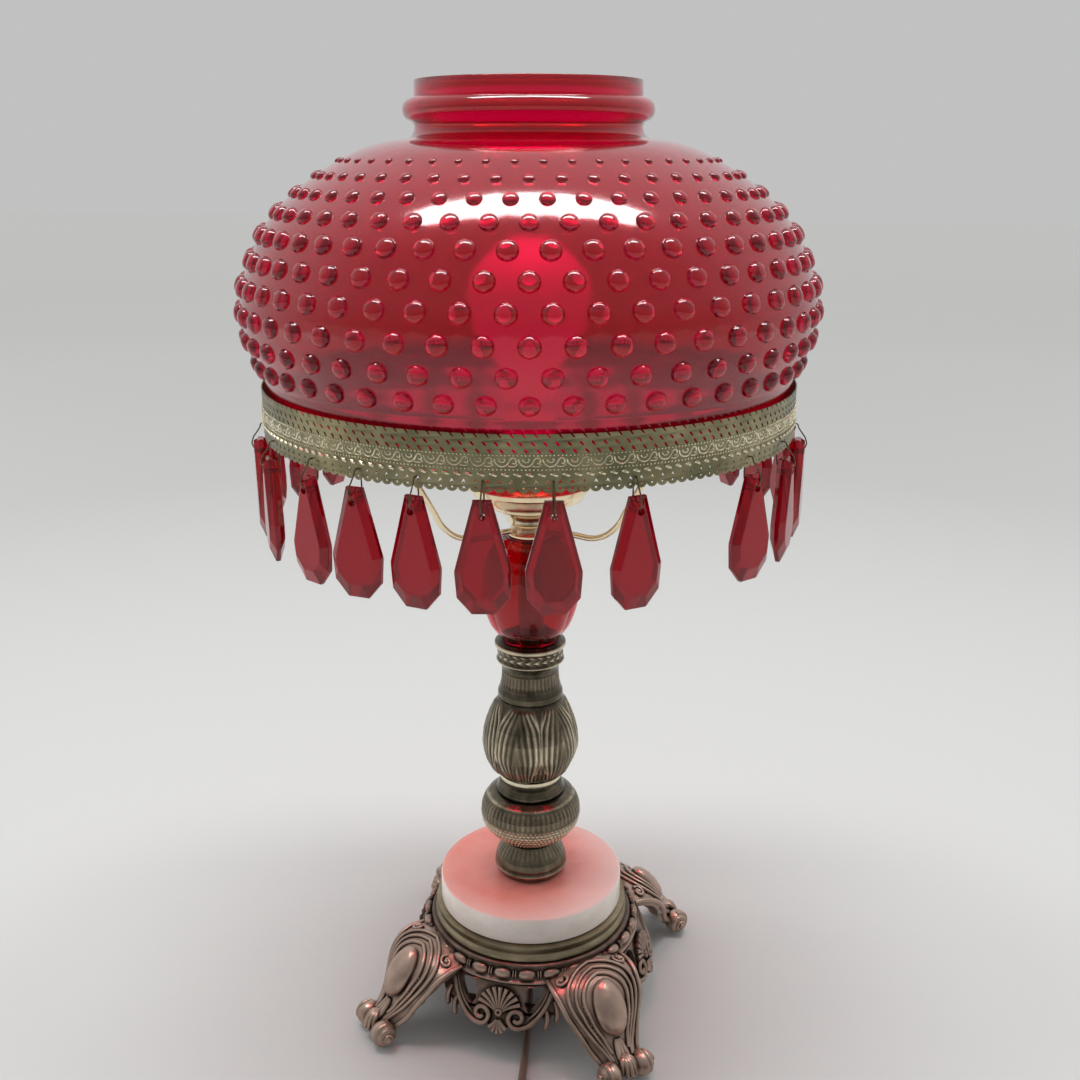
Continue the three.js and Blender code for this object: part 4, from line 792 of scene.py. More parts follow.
# %% [markdown]
# ## The hobnail shade
# Glass like this is blown into a mould, so each hob is a solid drop on the outside of an even wall.
# Ten rows of 48 hobs stand staggered like bricks. One hob is a dome on a square patch of the wall,
# and an Array copies it round the axis. The patches' corners meet, so the rows join into one skin.
# The patch is written point by point, because rings of points have to pass from a square to a circle.
# The neck, the rolled bead, the inside and the lip are then extruded from the skin's open edge.


# %% Lines that are walked by their length
def low(node):
    """The lowest level of a plain solid, in millimetres."""
    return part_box(node)[0].z / MM


def high(node):
    """The highest level of a plain solid, in millimetres."""
    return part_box(node)[1].z / MM


def walk(line):
    """The distance of each point from the line's start."""
    distances = [0]
    for a, b in zip(line, line[1:]):
        distances.append(distances[-1] + math.dist(a, b))
    return distances


SHORT_SHARE = 0.004


def at_share(line, distances, share):
    """The point at this share of the line's length."""
    want = min(max(share, 0), 1) * distances[-1]
    i = next((k for k in range(1, len(line)) if distances[k] >= want), len(line) - 1)
    span = distances[i] - distances[i - 1]
    t = (want - distances[i - 1]) / span if span else 0
    return tuple(p + (q - p) * t for p, q in zip(line[i - 1], line[i]))


def lifted(line, distances, share, height):
    """The point that stands this high off the line; lines run down the outside of a piece."""
    r0, z0 = at_share(line, distances, share - SHORT_SHARE)
    r1, z1 = at_share(line, distances, share + SHORT_SHARE)
    r, z = at_share(line, distances, share)
    size = math.hypot(r1 - r0, z1 - z0)
    return (r + height * (z0 - z1) / size, z + height * (r1 - r0) / size)


def chosen_open_edge(piece, test):
    """Selects the points of the open edges that pass a test, and stays in edit mode."""
    only(piece)
    bpy.ops.object.mode_set(mode="EDIT")
    bpy.ops.mesh.select_mode(type="VERT")
    bpy.ops.mesh.select_all(action="DESELECT")
    bpy.ops.mesh.select_non_manifold()
    bpy.ops.object.mode_set(mode="OBJECT")
    points = piece.data.vertices
    for vertex in points:
        vertex.select = vertex.select and test(vertex.co)
    for edge in piece.data.edges:
        edge.select = edge.select and all(points[k].select for k in edge.vertices)
    bpy.ops.object.mode_set(mode="EDIT")


# %% Shade
SHADE_WALL = 3.2
SHOULDER_RADIUS, SHADE_RADIUS, LIP_RADIUS = 55.5, 135.8, 127.0
HOBS_PER_ROW, HOB_ROWS = 48, 10
FIRST_HOB_SHARE, LAST_HOB_SHARE = 0.225, 0.955
HOB_RADII = [1.8, 2.7, 3.4, 4.0, 4.5, 4.6, 4.7, 4.7, 4.6, 4.5]
HOB_TURN = 15
SEAM = 0.02
shade_foot, shade_rim = low("hobnail_shade"), high("hobnail_shade")
lip_top, dome_top = shade_foot + 13, shade_foot + 118.7
DOME_SHARES = [(0.18, 0.978), (0.374, 0.92), (0.623, 0.8), (0.83, 0.643)]
DOME_SHARES += [(0.968, 0.43), (1, 0.32), (0.987, 0.196), (0.94, 0.092)]
dome_width, dome_rise = SHADE_RADIUS - SHOULDER_RADIUS, dome_top - lip_top
dome_points = [(SHOULDER_RADIUS + w * dome_width, lip_top + h * dome_rise) for w, h in DOME_SHARES]
dome = flowing([(SHOULDER_RADIUS, dome_top), *dome_points, (LIP_RADIUS + 0.4, lip_top)], 12)
dome_walked = walk(dome)
row_step = (LAST_HOB_SHARE - FIRST_HOB_SHARE) / (HOB_ROWS - 1)
HOB_RISE = [(1.0, 0.0), (0.94, 0.3), (0.82, 0.62), (0.6, 0.86), (0.32, 0.97)]
SQUARE = [(-1, -1), (-0.5, -1), (0, -1), (0.5, -1), (1, -1), (1, -0.5), (1, 0), (1, 0.5)]
SQUARE += [(-s, -t) for s, t in SQUARE]


def hob_row(row):
    """One hob on its patch of the wall, copied round the shade."""
    share = FIRST_HOB_SHARE + row * row_step
    middle = at_share(dome, dome_walked, share)[0]
    centre = HOB_TURN + (row + 1) % 2 * 180 / HOBS_PER_ROW
    half_pitch = math.pi / HOBS_PER_ROW
    half_row = row_step / 2
    top_height = min(3, 1 + 0.5 * row)

    def place(angle, along, height):
        r, z = lifted(dome, dome_walked, share + along, height)
        return on_axis(r, centre + math.degrees(angle), z) * MM

    rings = []
    for outward in (1.0, 0.5, 0.0):
        ring = []
        for s, t in SQUARE:
            turn = math.atan2(t * half_row * dome_walked[-1], s * half_pitch * middle)
            foot_angle = HOB_RADII[row] * math.cos(turn) / middle
            foot_along = HOB_RADII[row] * math.sin(turn) / dome_walked[-1]
            angle = foot_angle + (s * half_pitch - foot_angle) * outward
            along = foot_along + (t * half_row - foot_along) * outward
            ring.append((angle, along, 0.0))
        rings.append(ring)
    foot_ring = rings[-1]
    rings += [[(a * out, b * out, top_height * up) for a, b, _ in foot_ring] for out, up in HOB_RISE[1:]]
    points = [place(*spot) for ring in rings for spot in ring] + [place(0, 0, top_height)]
    count = len(SQUARE)
    faces = []
    for i in range(len(rings) - 1):
        for k in range(count):
            a, b = i * count + k, i * count + (k + 1) % count
            faces.append((a, b, b + count, a + count))
    last = (len(rings) - 1) * count
    faces += [(last + k, last + (k + 1) % count, len(points) - 1) for k in range(count)]
    mesh = bpy.data.meshes.new("hob_row")
    mesh.from_pydata(points, [], faces)
    return repeated(in_scene("hob_row", mesh), HOBS_PER_ROW, merge=True)


print(HOB_ROWS * HOBS_PER_ROW, "hobs, and a dome", round(dome_walked[-1], 1), "mm along its curve")
shade = joined("hobnail_shade_glass", [hob_row(row) for row in range(HOB_ROWS)])
tidied(shade, SEAM)
top_share = FIRST_HOB_SHARE - row_step / 2
low_share = LAST_HOB_SHARE + row_step / 2
shoulder_line = [at_share(dome, dome_walked, top_share * k / 8) for k in range(8, -1, -1)]
bead_middle = (dome_top + shade_rim) / 2
neck_line = [
    (54.0, dome_top + 1.2),
    (53.0, dome_top + 3),
    (52.6, bead_middle - 7.2),
    (53.6, bead_middle - 5.6),
    (56.2, bead_middle - 4.4),
    (57.7, bead_middle - 2.4),
    (58.1, bead_middle - 0.2),
    (57.7, bead_middle + 2),
    (56.2, bead_middle + 3.8),
    (54, bead_middle + 4.8),
    (52.7, bead_middle + 5.4),
    (52.5, bead_middle + 8),
    (52.5, shade_rim - 0.3),
    (52.2, shade_rim),
    (49.6, shade_rim),
    (49.3, shade_rim - 0.3),
    (49.3, bead_middle + 5),
    (51.2, bead_middle + 2.6),
    (52.2, bead_middle),
    (51.2, bead_middle - 3),
    (49.4, bead_middle - 6),
    (50.2, dome_top),
    (52.6, dome_top - 2.2),
]
inside_line = [lifted(dome, dome_walked, 0.06 + 0.05 * k, -SHADE_WALL) for k in range(19)]
lip_line = [
    (LIP_RADIUS - SHADE_WALL, lip_top - 1),
    (LIP_RADIUS - SHADE_WALL, shade_foot + 0.4),
    (LIP_RADIUS - SHADE_WALL + 0.4, shade_foot),
    (LIP_RADIUS - 0.4, shade_foot),
    (LIP_RADIUS, shade_foot + 0.4),
    (LIP_RADIUS, lip_top - 0.8),
    at_share(dome, dome_walked, low_share),
]
chosen_open_edge(shade, lambda at: at.z > (lip_top + dome_rise / 2) * MM)
extruded_on([*shoulder_line, *neck_line, *inside_line, *lip_line])
bpy.ops.object.mode_set(mode="OBJECT")
tidied(shade, SEAM)
bpy.ops.object.shade_smooth_by_angle(angle=math.radians(50))
dress(shade, "shade", shade_glass, "ruby_glass", "hobnail_shade")

# %% [markdown]
# ## The filigree band
# The band is pressed from thin brass strip: pierced, embossed and bent round. So it is drawn flat,
# one repeat of three scallops wide, as a filled curve with its holes in it. The flat tile gets its
# thickness, is bent round the axis, and is copied 56 times. Beads, lozenges and scrolls are raised
# wires and drops that are laid on the strip.

# %% Band strip
BAND_RADIUS = 129.5
BAND_FOOT, BAND_HEIGHT = 328.4, 23.8
REPEATS = 56
TILE = 2 * math.pi * BAND_RADIUS / REPEATS
SCALLOP = TILE / 3
STRIP_RADIUS = BAND_RADIUS - 0.9
STRIP_THICKNESS = 0.5
SCALLOP_DEPTH = 2.2
SLOT_WIDE, SLOT_TALL, SLOT_LEAN = 1.3, 0.5, -0.8


def loop_on(curve, points):
    """Adds a closed outline to a flat curve."""
    spline = curve.splines.new("POLY")
    spline.points.add(len(points) - 1)
    for spot, (x, y) in zip(spline.points, points):
        spot.co = (x, y, 0, 1)
    spline.use_cyclic_u = True


def ellipse(x, y, wide, tall, lean=0.0, sides=8):
    """Points of a leaning ellipse."""
    out = []
    for k in range(sides):
        a = 2 * math.pi * k / sides
        u, v = wide * math.cos(a), tall * math.sin(a)
        out.append((x + u * math.cos(lean) - v * math.sin(lean), y + u * math.sin(lean) + v * math.cos(lean)))
    return out


def wrapped(piece, radius):
    """Bends a flat piece, drawn in millimetres, round the axis: x runs round, y up, z outward."""
    for vertex in piece.data.vertices:
        x, y, z = vertex.co
        r = radius + z
        a = x / radius
        vertex.co = Vector((r * math.sin(a), -r * math.cos(a), y)) * MM
    piece.data.update()
    return piece


def flat_plate(name, outlines, thickness):
    """A flat plate with holes, centred on z = 0, in millimetres."""
    curve = bpy.data.curves.new(name, "CURVE")
    curve.dimensions = "2D"
    curve.fill_mode = "BOTH"
    curve.extrude = thickness / 2
    for outline in outlines:
        loop_on(curve, outline)
    only(in_scene(name, curve))
    bpy.ops.object.convert(target="MESH")
    return bpy.context.object


top_edge = [(TILE, BAND_HEIGHT)]
for k in (2, 1, 0):
    x = (k + 0.4) * SCALLOP
    top_edge += [(x + 0.5, BAND_HEIGHT), (x + 1.6, BAND_HEIGHT - 1.5), (x + 0.9, BAND_HEIGHT - 1.5)]
    top_edge.append((x - 0.5, BAND_HEIGHT))
top_edge.append((0, BAND_HEIGHT))
low_edge = []
for k in range(3):
    x = k * SCALLOP
    for step in range(7):
        a = math.pi * step / 6
        spot = (x + SCALLOP / 2 * (1 - math.cos(a)), SCALLOP_DEPTH - SCALLOP_DEPTH * math.sin(a))
        if k == 0 or step:
            low_edge.append(spot)
holes = []
for k in range(3):
    holes.append(ellipse((k + 0.25) * SCALLOP, BAND_HEIGHT - 3.9, SLOT_WIDE, SLOT_TALL, SLOT_LEAN))
    holes.append(ellipse((k + 0.7) * SCALLOP, BAND_HEIGHT - 6.9, SLOT_WIDE, SLOT_TALL, SLOT_LEAN))
    middle = (k + 0.5) * SCALLOP
    holes.append([(middle - 1.1, 3.5), (middle, 4.3), (middle + 1.1, 3.5), (middle, 5.5)])
    holes.append(ellipse(middle, 1.8, 0.6, 0.5, 0, 6))
strip = flat_plate("band_strip", [[*low_edge, *top_edge], *holes], STRIP_THICKNESS)
wrapped(strip, STRIP_RADIUS)
strip.data.transform(Matrix.Translation((0, 0, BAND_FOOT * MM)))
repeated(strip, REPEATS, merge=True)
tidied(strip, 0.01)
bpy.ops.object.shade_smooth_by_angle(angle=math.radians(30))
dress(strip, "lamp", band_brass, "olive_brass", "prism_band")


# %% Band ornament
def beads_round(name, count, radius, height, size, stretch=(1, 1, 1), detail=1):
    """A ring of small drops round the axis."""
    bead = added(name, bpy.ops.mesh.primitive_ico_sphere_add, subdivisions=detail, radius=size * MM)
    bead.data.transform(Matrix.Diagonal((*stretch, 1)))
    bead.data.transform(Matrix.Translation((0, -radius * MM, height * MM)))
    bpy.ops.object.shade_smooth()
    return repeated(bead, count)


BEADS_PER_RING, SCROLL_COUNT = 504, 84
BEAD_SIZE, BEAD_CIRCLE = 0.5, BAND_RADIUS - 0.6
LOZENGE_SIZE, LOZENGE_STRETCH, LOZENGE_LEAN = 1.15, (1.65, 0.7, 0.75, 1), math.radians(20)
SCROLL = [(0.3, 14.0), (0.8, 12.2), (2.4, 10.9), (4.4, 10.8), (6.0, 12.2), (6.9, 13.8), (8.2, 14.2)]
SCROLL += [(9.0, 13.1), (8.5, 11.9), (7.6, 12.3)]
SMALL_SCROLL = [(1.9, 13.8), (2.6, 12.7), (3.8, 12.4), (4.7, 13.3), (4.1, 14.1)]
LINK = [(5.9, 11.0), (7.2, 10.7), (8.7, 10.9), (9.6, 11.9)]


def scroll_wire(name, points, radius):
    """A raised scroll on the strip, copied round."""
    stretched = [on_axis(STRIP_RADIUS + 0.25, math.degrees(x / STRIP_RADIUS), BAND_FOOT + y) for x, y in points]
    wire = tube(name, stretched, radius, None, 3, 0)
    return repeated(wire, SCROLL_COUNT)


ornament = [
    scroll_wire("scroll", SCROLL, 0.38),
    scroll_wire("small_scroll", SMALL_SCROLL, 0.32),
    scroll_wire("scroll_link", LINK, 0.3),
    beads_round("upper_beads", BEADS_PER_RING, BEAD_CIRCLE, BAND_FOOT + 15.4, BEAD_SIZE),
    beads_round("lower_beads", BEADS_PER_RING, BEAD_CIRCLE, BAND_FOOT + 9.6, BEAD_SIZE),
]
lozenge = added("lozenge", bpy.ops.mesh.primitive_ico_sphere_add, subdivisions=1, radius=LOZENGE_SIZE * MM)
lozenge.data.transform(Matrix.Diagonal(LOZENGE_STRETCH))
lozenge.data.transform(Matrix.Rotation(LOZENGE_LEAN, 4, "Y"))
lozenge.data.transform(Matrix.Translation((0, -(BAND_RADIUS - 0.45) * MM, (BAND_FOOT + 7.5) * MM)))
ornament.append(repeated(lozenge, 3 * REPEATS))
band_ornament = joined("band_ornament", ornament)
dress(band_ornament, "lamp", bright_band, "olive_brass", "prism_band")

# %% [markdown]
# ## Hooks and prisms
# Each prism hangs on a soft wire that is pushed through the strip, goes down outside it, bends
# through the prism's hole and ends behind the strip. A prism is cut from pressed glass: a long kite
# with a thin edge, and a raised flat facet on both faces. Here it starts as one outline that is
# extruded, and the facet is an inset of each face, moved outward. One place in front stays empty,
# because one prism of the real lamp is lost.

# %% Hooks
PRISM_CIRCLE = 131.0
HOOK_WIRE = 0.36
HOOK_BEND = 4.2
HOOK_STEP = 360 / 144
PRISM_BELOW_BAND, PIVOT_BELOW_TOP = 2.5, 6.0
FIRST_HOOK = -65.8
HOOK_GAPS = [7, 7, 5, 5, 5, 5, 6, 6, 5, 6, 7, 6, 6, 5, 6, 6, 5, 6, 6, 5, 6, 6, 5, 6, 6]
EMPTY_PLACE = 8
hook_angles = []
turn = FIRST_HOOK
for place, gap in enumerate(HOOK_GAPS):
    if place != EMPTY_PLACE:
        hook_angles.append(turn)
    turn += gap * HOOK_STEP
pivot_level = BAND_FOOT - PRISM_BELOW_BAND - PIVOT_BELOW_TOP
hook_level = pivot_level + HOOK_BEND - 0.3
hook_route = [(BAND_RADIUS - 1.4, BAND_FOOT + 4.5), (BAND_RADIUS + 0.7, BAND_FOOT + 4.7)]
hook_route += [(BAND_RADIUS + 1.7, BAND_FOOT + 2.6), (PRISM_CIRCLE + HOOK_BEND, hook_level + 0.6)]
for k in range(1, 6):
    a = math.pi * k / 6
    hook_route.append((PRISM_CIRCLE + HOOK_BEND * math.cos(a), hook_level - HOOK_BEND * math.sin(a)))
hook_route += [(PRISM_CIRCLE - HOOK_BEND, hook_level), (PRISM_CIRCLE - HOOK_BEND, hook_level + 5.6)]
hook = tube("hook", [(0, -r, z) for r, z in hook_route], HOOK_WIRE, None, 3, 1)
dress(joined("prism_hooks", copies_at(hook, hook_angles)), "lamp", hook_brass, "olive_brass", "prism_band")

# %% Prisms
PRISM_LENGTH = 48.1
PRISM_OUTLINE = [(3.9, 0), (3.9, 0.6), (11.6, 29.4), (11.6, 31.2), (10.9, 40.9), (4.85, PRISM_LENGTH)]
PRISM_EDGE, PRISM_FACET, FACET_INSET = 2.0, 3.5, 3.0
LOWER_FACET_START, LOWER_FACET_LIFT = 37.0, 3.4
HOLE_RADIUS, DRILL_LENGTH = 1.5, 12
BROKEN_EDGE = 0.16
PRISM_TWISTS = [6, -9, 4, 11, -5, 8, -3, 7, -10, 5, -6, 9]


def cut_prism():
    """A prism at angle 0, with its hole on the hook."""
    outline = [(-x, y) for x, y in PRISM_OUTLINE] + [(x, y) for x, y in reversed(PRISM_OUTLINE)]
    prism = blank_of("prism", len(outline))
    top = pivot_level + PIVOT_BELOW_TOP
    for vertex, (x, down) in zip(prism.data.vertices, outline):
        vertex.co = Vector((x, -PRISM_CIRCLE - PRISM_EDGE / 2, top - down)) * MM
    thickened(prism, (0, PRISM_EDGE, 0))
    for side in (-1, 1):
        bpy.ops.object.mode_set(mode="EDIT")
        bpy.ops.mesh.select_mode(type="FACE")
        bpy.ops.mesh.select_all(action="DESELECT")
        bpy.ops.object.mode_set(mode="OBJECT")
        for face in prism.data.polygons:
            face.select = face.normal.y * side > 0.9
        bpy.ops.object.mode_set(mode="EDIT")
        bpy.ops.mesh.inset(thickness=FACET_INSET * MM, depth=(PRISM_FACET - PRISM_EDGE / 2) * MM)
        bpy.ops.object.mode_set(mode="OBJECT")
    for vertex in prism.data.vertices:
        stands_off = abs(vertex.co.y / MM + PRISM_CIRCLE)
        if stands_off > PRISM_EDGE and vertex.co.z < (top - LOWER_FACET_START) * MM:
            vertex.co.z += LOWER_FACET_LIFT * MM
    drill = {"vertices": 16, "radius": HOLE_RADIUS * MM, "depth": DRILL_LENGTH * MM}
    drill["location"] = (0, -PRISM_CIRCLE * MM, pivot_level * MM)
    drill["rotation"] = (math.pi / 2, 0, 0)
    cutter = added("cutter", bpy.ops.mesh.primitive_cylinder_add, **drill)
    apply_modifier(prism, "BOOLEAN", object=cutter, operation="DIFFERENCE", solver="EXACT")
    bpy.data.objects.remove(cutter)
    apply_modifier(prism, "BEVEL", width=BROKEN_EDGE * MM, segments=1, limit_method="ANGLE", angle_limit=0.25)
    return prism


prism = cut_prism()
to_hook = Matrix.Translation((0, -PRISM_CIRCLE * MM, 0))
for i, angle in enumerate(hook_angles):
    name = f"prism_{i + 1:02d}"
    twist = Matrix.Rotation(math.radians(PRISM_TWISTS[i % len(PRISM_TWISTS)]), 4, "Z")
    twisted = turned_copy(prism, f"{name}_glass", 0)
    twisted.data.transform(to_hook @ twist @ to_hook.inverted())
    twisted.data.transform(Matrix.Rotation(math.radians(angle), 4, "Z"))
    dress(twisted, name, prism_glass, "ruby_glass", name)
bpy.data.objects.remove(prism)

# %% [markdown]
# ## The holder, the socket and the bulb
# Three wires carry the shade. They are screwed into a small cone on the font, rise past the spun
# brass cup, and end under a flat ring. The cup and the socket are spun from thin sheet, so each is
# one outline up the outside and down the inside.

# %% Holder
PIPE_HOLE = 5.45
ARM_THICKNESS = 3.0
CUP_WALL, CUP_FLOOR = 1, 0.8
hub_foot, hub_top = low("holder_hub"), high("holder_hub")
hub = bored(
    "hub_cone",
    [(10.6, hub_foot), (11, hub_foot + 0.4), (11, hub_foot + 1.2), (10.6, hub_foot + 1.6)]
    + [(9.6, hub_top - 1.4), (9.9, hub_top - 0.9), (9.4, hub_top)],
    PIPE_HOLE,
    64,
)
dress(hub, "lamp", bright_brass, "bright_brass", "holder_hub")

cup_foot = low("burner_cup")
cup_outside = [
    (11.3, 0),
    (11.6, 0.4),
    (12.0, 2),
    (14.0, 5.2),
    (17.0, 7.3),
    (19.4, 8),
    (20.0, 8.6),
    (20.0, 9.6),
    (23.4, 10.8),
    (27.4, 13),
    (29.2, 15.8),
    (29.8, 17.2),
    (30.6, 18.0),
    (31.6, 18.6),
    (31.9, 19.5),
    (31.9, 20.8),
    (31.6, 21.1),
]
cup_inside = [(r - CUP_WALL, z + CUP_FLOOR) for r, z in reversed(cup_outside[1:-2])]
cup_line = [*cup_outside, (31, 21.1), *cup_inside, (PIPE_HOLE, 1.2), (PIPE_HOLE, 0)]
cup = turned("spun_cup", [(r, cup_foot + z) for r, z in cup_line], 128, True, 40)
dress(cup, "lamp", bright_brass, "bright_brass", "burner_cup")

ARM_ANGLES = (-45, 75, 195)
arm_level = (hub_foot + hub_top) / 2
ring_foot = low("shade_ring")
arm_end = ring_foot - 0.3
ARM_ROUTE = [(11.3, 0), (25.3, 0), (38, 0.3), (48, 6.6), (55.1, 18.5), (58.5, 24.5), (65.5, 35.5)]
arm_points = [(r, arm_level + rise) for r, rise in ARM_ROUTE]
arm_points += [(86.75, arm_end - 16.4), (107.75, arm_end - 8.9), (120.4, arm_end - 5.4)]
arm_points += [(122.5, arm_end - 3.6), (122.75, arm_end - 0.1)]
arm = tube("arm", [(0, -r, z) for r, z in arm_points], ARM_THICKNESS / 2, None, 5, 3)
for i, angle in enumerate(ARM_ANGLES):
    node = f"holder_arm_{i + 1}"
    dress(turned_copy(arm, f"arm_wire_{i + 1}", angle), "lamp", bright_brass, "bright_brass", node)
bpy.data.objects.remove(arm)

# %% Socket
socket_foot = low("socket_cap")
cap_line = [(9.4, 0), (10.2, 0.3), (13.6, 4), (14.4, 5), (15.6, 7.8), (16.6, 9.6), (17, 11), (17.2, 11.8)]
cap_line += [(17.0, 12.6), (17.6, 13.6), (17.8, 16.8), (17.8, 18), (17, 18), (16.6, 13), (16.2, 11)]
cap_line += [(13.2, 5), (9.4, 0.8), (PIPE_HOLE, 0.8), (PIPE_HOLE, 0)]
cap = turned("socket_cap_spun", [(r, socket_foot + z) for r, z in cap_line], 96)
dress(cap, "lamp", bright_brass, "bright_brass", "socket_cap")

KNOB_TURN = 115
KNOB_LEVEL = low("socket_shell") + 9
SHAFT_RADIUS, PADDLE_CENTRE = 1.5, 29.8
PADDLE_STRETCH = (2.25, 6, 5.5, 1)
shaft = tube("knob_shaft", [(0, -9.5, KNOB_LEVEL), (0, -16, KNOB_LEVEL), (0, -26, KNOB_LEVEL)], SHAFT_RADIUS)
paddle = added("knob_paddle", bpy.ops.mesh.primitive_uv_sphere_add, segments=32, ring_count=16, radius=MM)
paddle.data.transform(Matrix.Diagonal(PADDLE_STRETCH))
paddle.data.transform(Matrix.Translation((0, -PADDLE_CENTRE * MM, KNOB_LEVEL * MM)))
bpy.ops.object.shade_smooth()
knob = joined("turn_knob", [paddle, shaft])
knob.data.transform(Matrix.Rotation(math.radians(KNOB_TURN), 4, "Z"))
dress(knob, "knob", black_plastic, "black_plastic", "switch_knob")

# %% Bulb
glass_foot, glass_top = low("bulb_glass"), high("bulb_glass")
BULB_RADIUS = 30.0
bulb_middle = glass_top - BULB_RADIUS
bulb_outline = [(12.4, glass_foot), (12.8, glass_foot + 5), (15, glass_foot + 13), (21, glass_foot + 25)]
bulb_outline += [(27.4, bulb_middle - 13), (29.6, bulb_middle - 5)]
bulb_line = flowing([*bulb_outline, (BULB_RADIUS, bulb_middle)], 4)
for k in range(1, 12):
    a = math.pi / 2 * k / 12
    bulb_line.append((BULB_RADIUS * math.cos(a), bulb_middle + BULB_RADIUS * math.sin(a)))
bulb = turned("frosted_bulb_glass", bulb_line, 64, False, 60)
dress(bulb, "lamp", frosted_glass, "frosted_glass", "bulb_glass")

# %% [markdown]
# ## The glass font
# The font is a lamp's old oil bowl, here only an ornament. It is blown into a ribbed mould: ten
# broad flutes that fade toward both ends. The brass pipe inside shows through it.

# %% Font
FONT_FLUTES = 10
FLUTE_DEPTH = 0.9
font_foot, font_top = low("glass_font"), high("glass_font")
font_height = font_top - font_foot
FONT_SHARES = [(15.4, 0), (15.9, 0.02), (18.6, 0.09), (21.8, 0.18), (25, 0.35), (25.8, 0.5), (24, 0.72)]
FONT_SHARES += [(20.6, 0.86), (17.2, 0.935), (14.6, 0.965), (12, 0.985), (11.6, 1)]
font_outside = flowing([(r, font_foot + share * font_height) for r, share in FONT_SHARES], 5)
font_inside = [(max(r - 3, 9), z) for r, z in reversed(font_outside[6:-8:3])]
font_line = [*font_outside, (PIPE_HOLE, font_top), (PIPE_HOLE, font_top - 3), (9, font_top - 3.2), *font_inside]
font_line += [(12.4, font_foot + 3), (PIPE_HOLE, font_foot + 3), (PIPE_HOLE, font_foot)]
font = turned("ruby_font", font_line, 160, True, 50)


def font_flutes(angle, z, radius):
    """Scallops the outside wall between flutes, least at both ends."""
    share = (z - font_foot) / font_height
    if radius < 11 or radius < 0.9 * at_height(font_outside, z):
        return 0, 0
    strength = math.sin(math.pi * min(max(share, 0), 1)) ** 0.7
    scallop = abs(math.sin(math.radians(angle * FONT_FLUTES / 2)))
    return -FLUTE_DEPTH * strength * (1 - scallop**0.8), 0


def at_height(line, z):
    """The radius of an outline at this level."""
    for a, b in zip(line, line[1:]):
        if a[1] <= z <= b[1] and b[1] > a[1]:
            return a[0] + (b[0] - a[0]) * (z - a[1]) / (b[1] - a[1])
    return line[-1][0]


raise_surface(font, font_flutes)
dress(font, "lamp", font_glass, "ruby_glass", "glass_font")

# %% [markdown]
# ## The bronze column
# Six cast and turned pieces are threaded over the pipe like beads. Each starts on the lathe with
# many fine rings. Then its ornament is raised out of the surface by a rule: ribs, grains, leaves
# with their veins. The rule also says how high a point stands, and the finish reads that, so high
# points look rubbed and hollows look dark.


# %% Helpers for cast ornament
def cast_piece(name, node, shares, ornament, sides=192, fine=0.35, smooth=60):
    """A column piece from (radius, share of height) points, with ornament raised out of it."""
    foot, top = low(node), high(node)
    line = [(r, foot + share * (top - foot)) for r, share in shares]
    distances = walk(line)
    count = max(int(distances[-1] / fine), len(line))
    outside = [at_share(line, distances, k / count) for k in range(count + 1)]
    piece = bored(name, outside, PIPE_HOLE, sides, smooth)

    def height_at(angle, z, radius):
        if radius < PIPE_HOLE + 2:
            return 0, 0
        return ornament(angle, (z - foot) / (top - foot))

    raise_surface(piece, height_at)
    return dress(piece, "lamp", bronze, "bronze", node)


def wave(angle, count, sharp=1.0):
    """A rib pattern: 0 in the valleys, 1 on the ribs."""
    return (0.5 + 0.5 * math.cos(math.radians(angle * count))) ** sharp


def between(value, low_end, high_end, edge=0.02):
    """1 inside a range of shares, 0 outside, with soft ends."""
    return eased(value, low_end - edge, low_end + edge) * (1 - eased(value, high_end - edge, high_end + edge))


# %% Column foot, knop and collar
def foot_ornament(angle, share):
    ribs = between(share, 0.66, 0.98, 0.08)
    ring = between(share, 0.2, 0.27, 0.03)
    lift = 0.3 * ribs * (wave(angle, 40) - 1) + 0.35 * ring - 0.4 * between(share, 0.3, 0.35)
    return lift, 0.22 + 0.25 * ring + 0.12 * ribs * wave(angle, 40, 2)


def knop_ornament(angle, share):
    grains = between(share, 0.08, 0.57, 0.03)
    ribs = between(share, 0.62, 0.88, 0.03)
    ring = between(share, 0.92, 0.96, 0.015)
    row = math.floor(share * 15)
    grain = wave(angle + (row % 2) * 2.5, 72) * wave(share * 15 * 360 - 180, 1)
    lift = 0.8 * grains * grain + 0.45 * ribs * wave(angle, 60) - 0.35 * (grains + ribs) + 0.35 * ring
    share_high = 0.22 + 0.2 * grains + 0.55 * grains * grain + 0.16 * ribs * wave(angle, 60, 2) + 0.2 * ring
    return lift, share_high


def collar_ornament(angle, share):
    return 0, 0.18 + 0.55 * between(share, 0.74, 0.98, 0.05) + 0.12 * between(share, -0.1, 0.08, 0.03)


cast_piece(
    "foot_cast",
    "column_foot",
    [(16.6, 0), (18.6, 0.06), (19.6, 0.2), (19.7, 0.4), (19.0, 0.56), (17.6, 0.72), (15.2, 0.9), (13.8, 1)],
    foot_ornament,
)
cast_piece(
    "knop_cast",
    "column_knop",
    [(13.8, 0), (15.3, 0.05), (19, 0.13), (23.6, 0.27), (26.4, 0.42), (27.3, 0.58), (26.9, 0.72)]
    + [(25.6, 0.84), (23.2, 0.94), (20.5, 1)],
    knop_ornament,
    288,
)
cast_piece(
    "collar_cast",
    "column_collar",
    [(17.6, 0), (18.5, 0.06), (18.6, 0.2), (17.9, 0.32), (17, 0.5), (15.6, 0.6), (15.4, 0.68), (16.7, 0.76)]
    + [(16.9, 0.86), (16.8, 1)],
    collar_ornament,
)

# %% Vase, neck and cap
LEAVES = 6
LEAF_TURN = 2


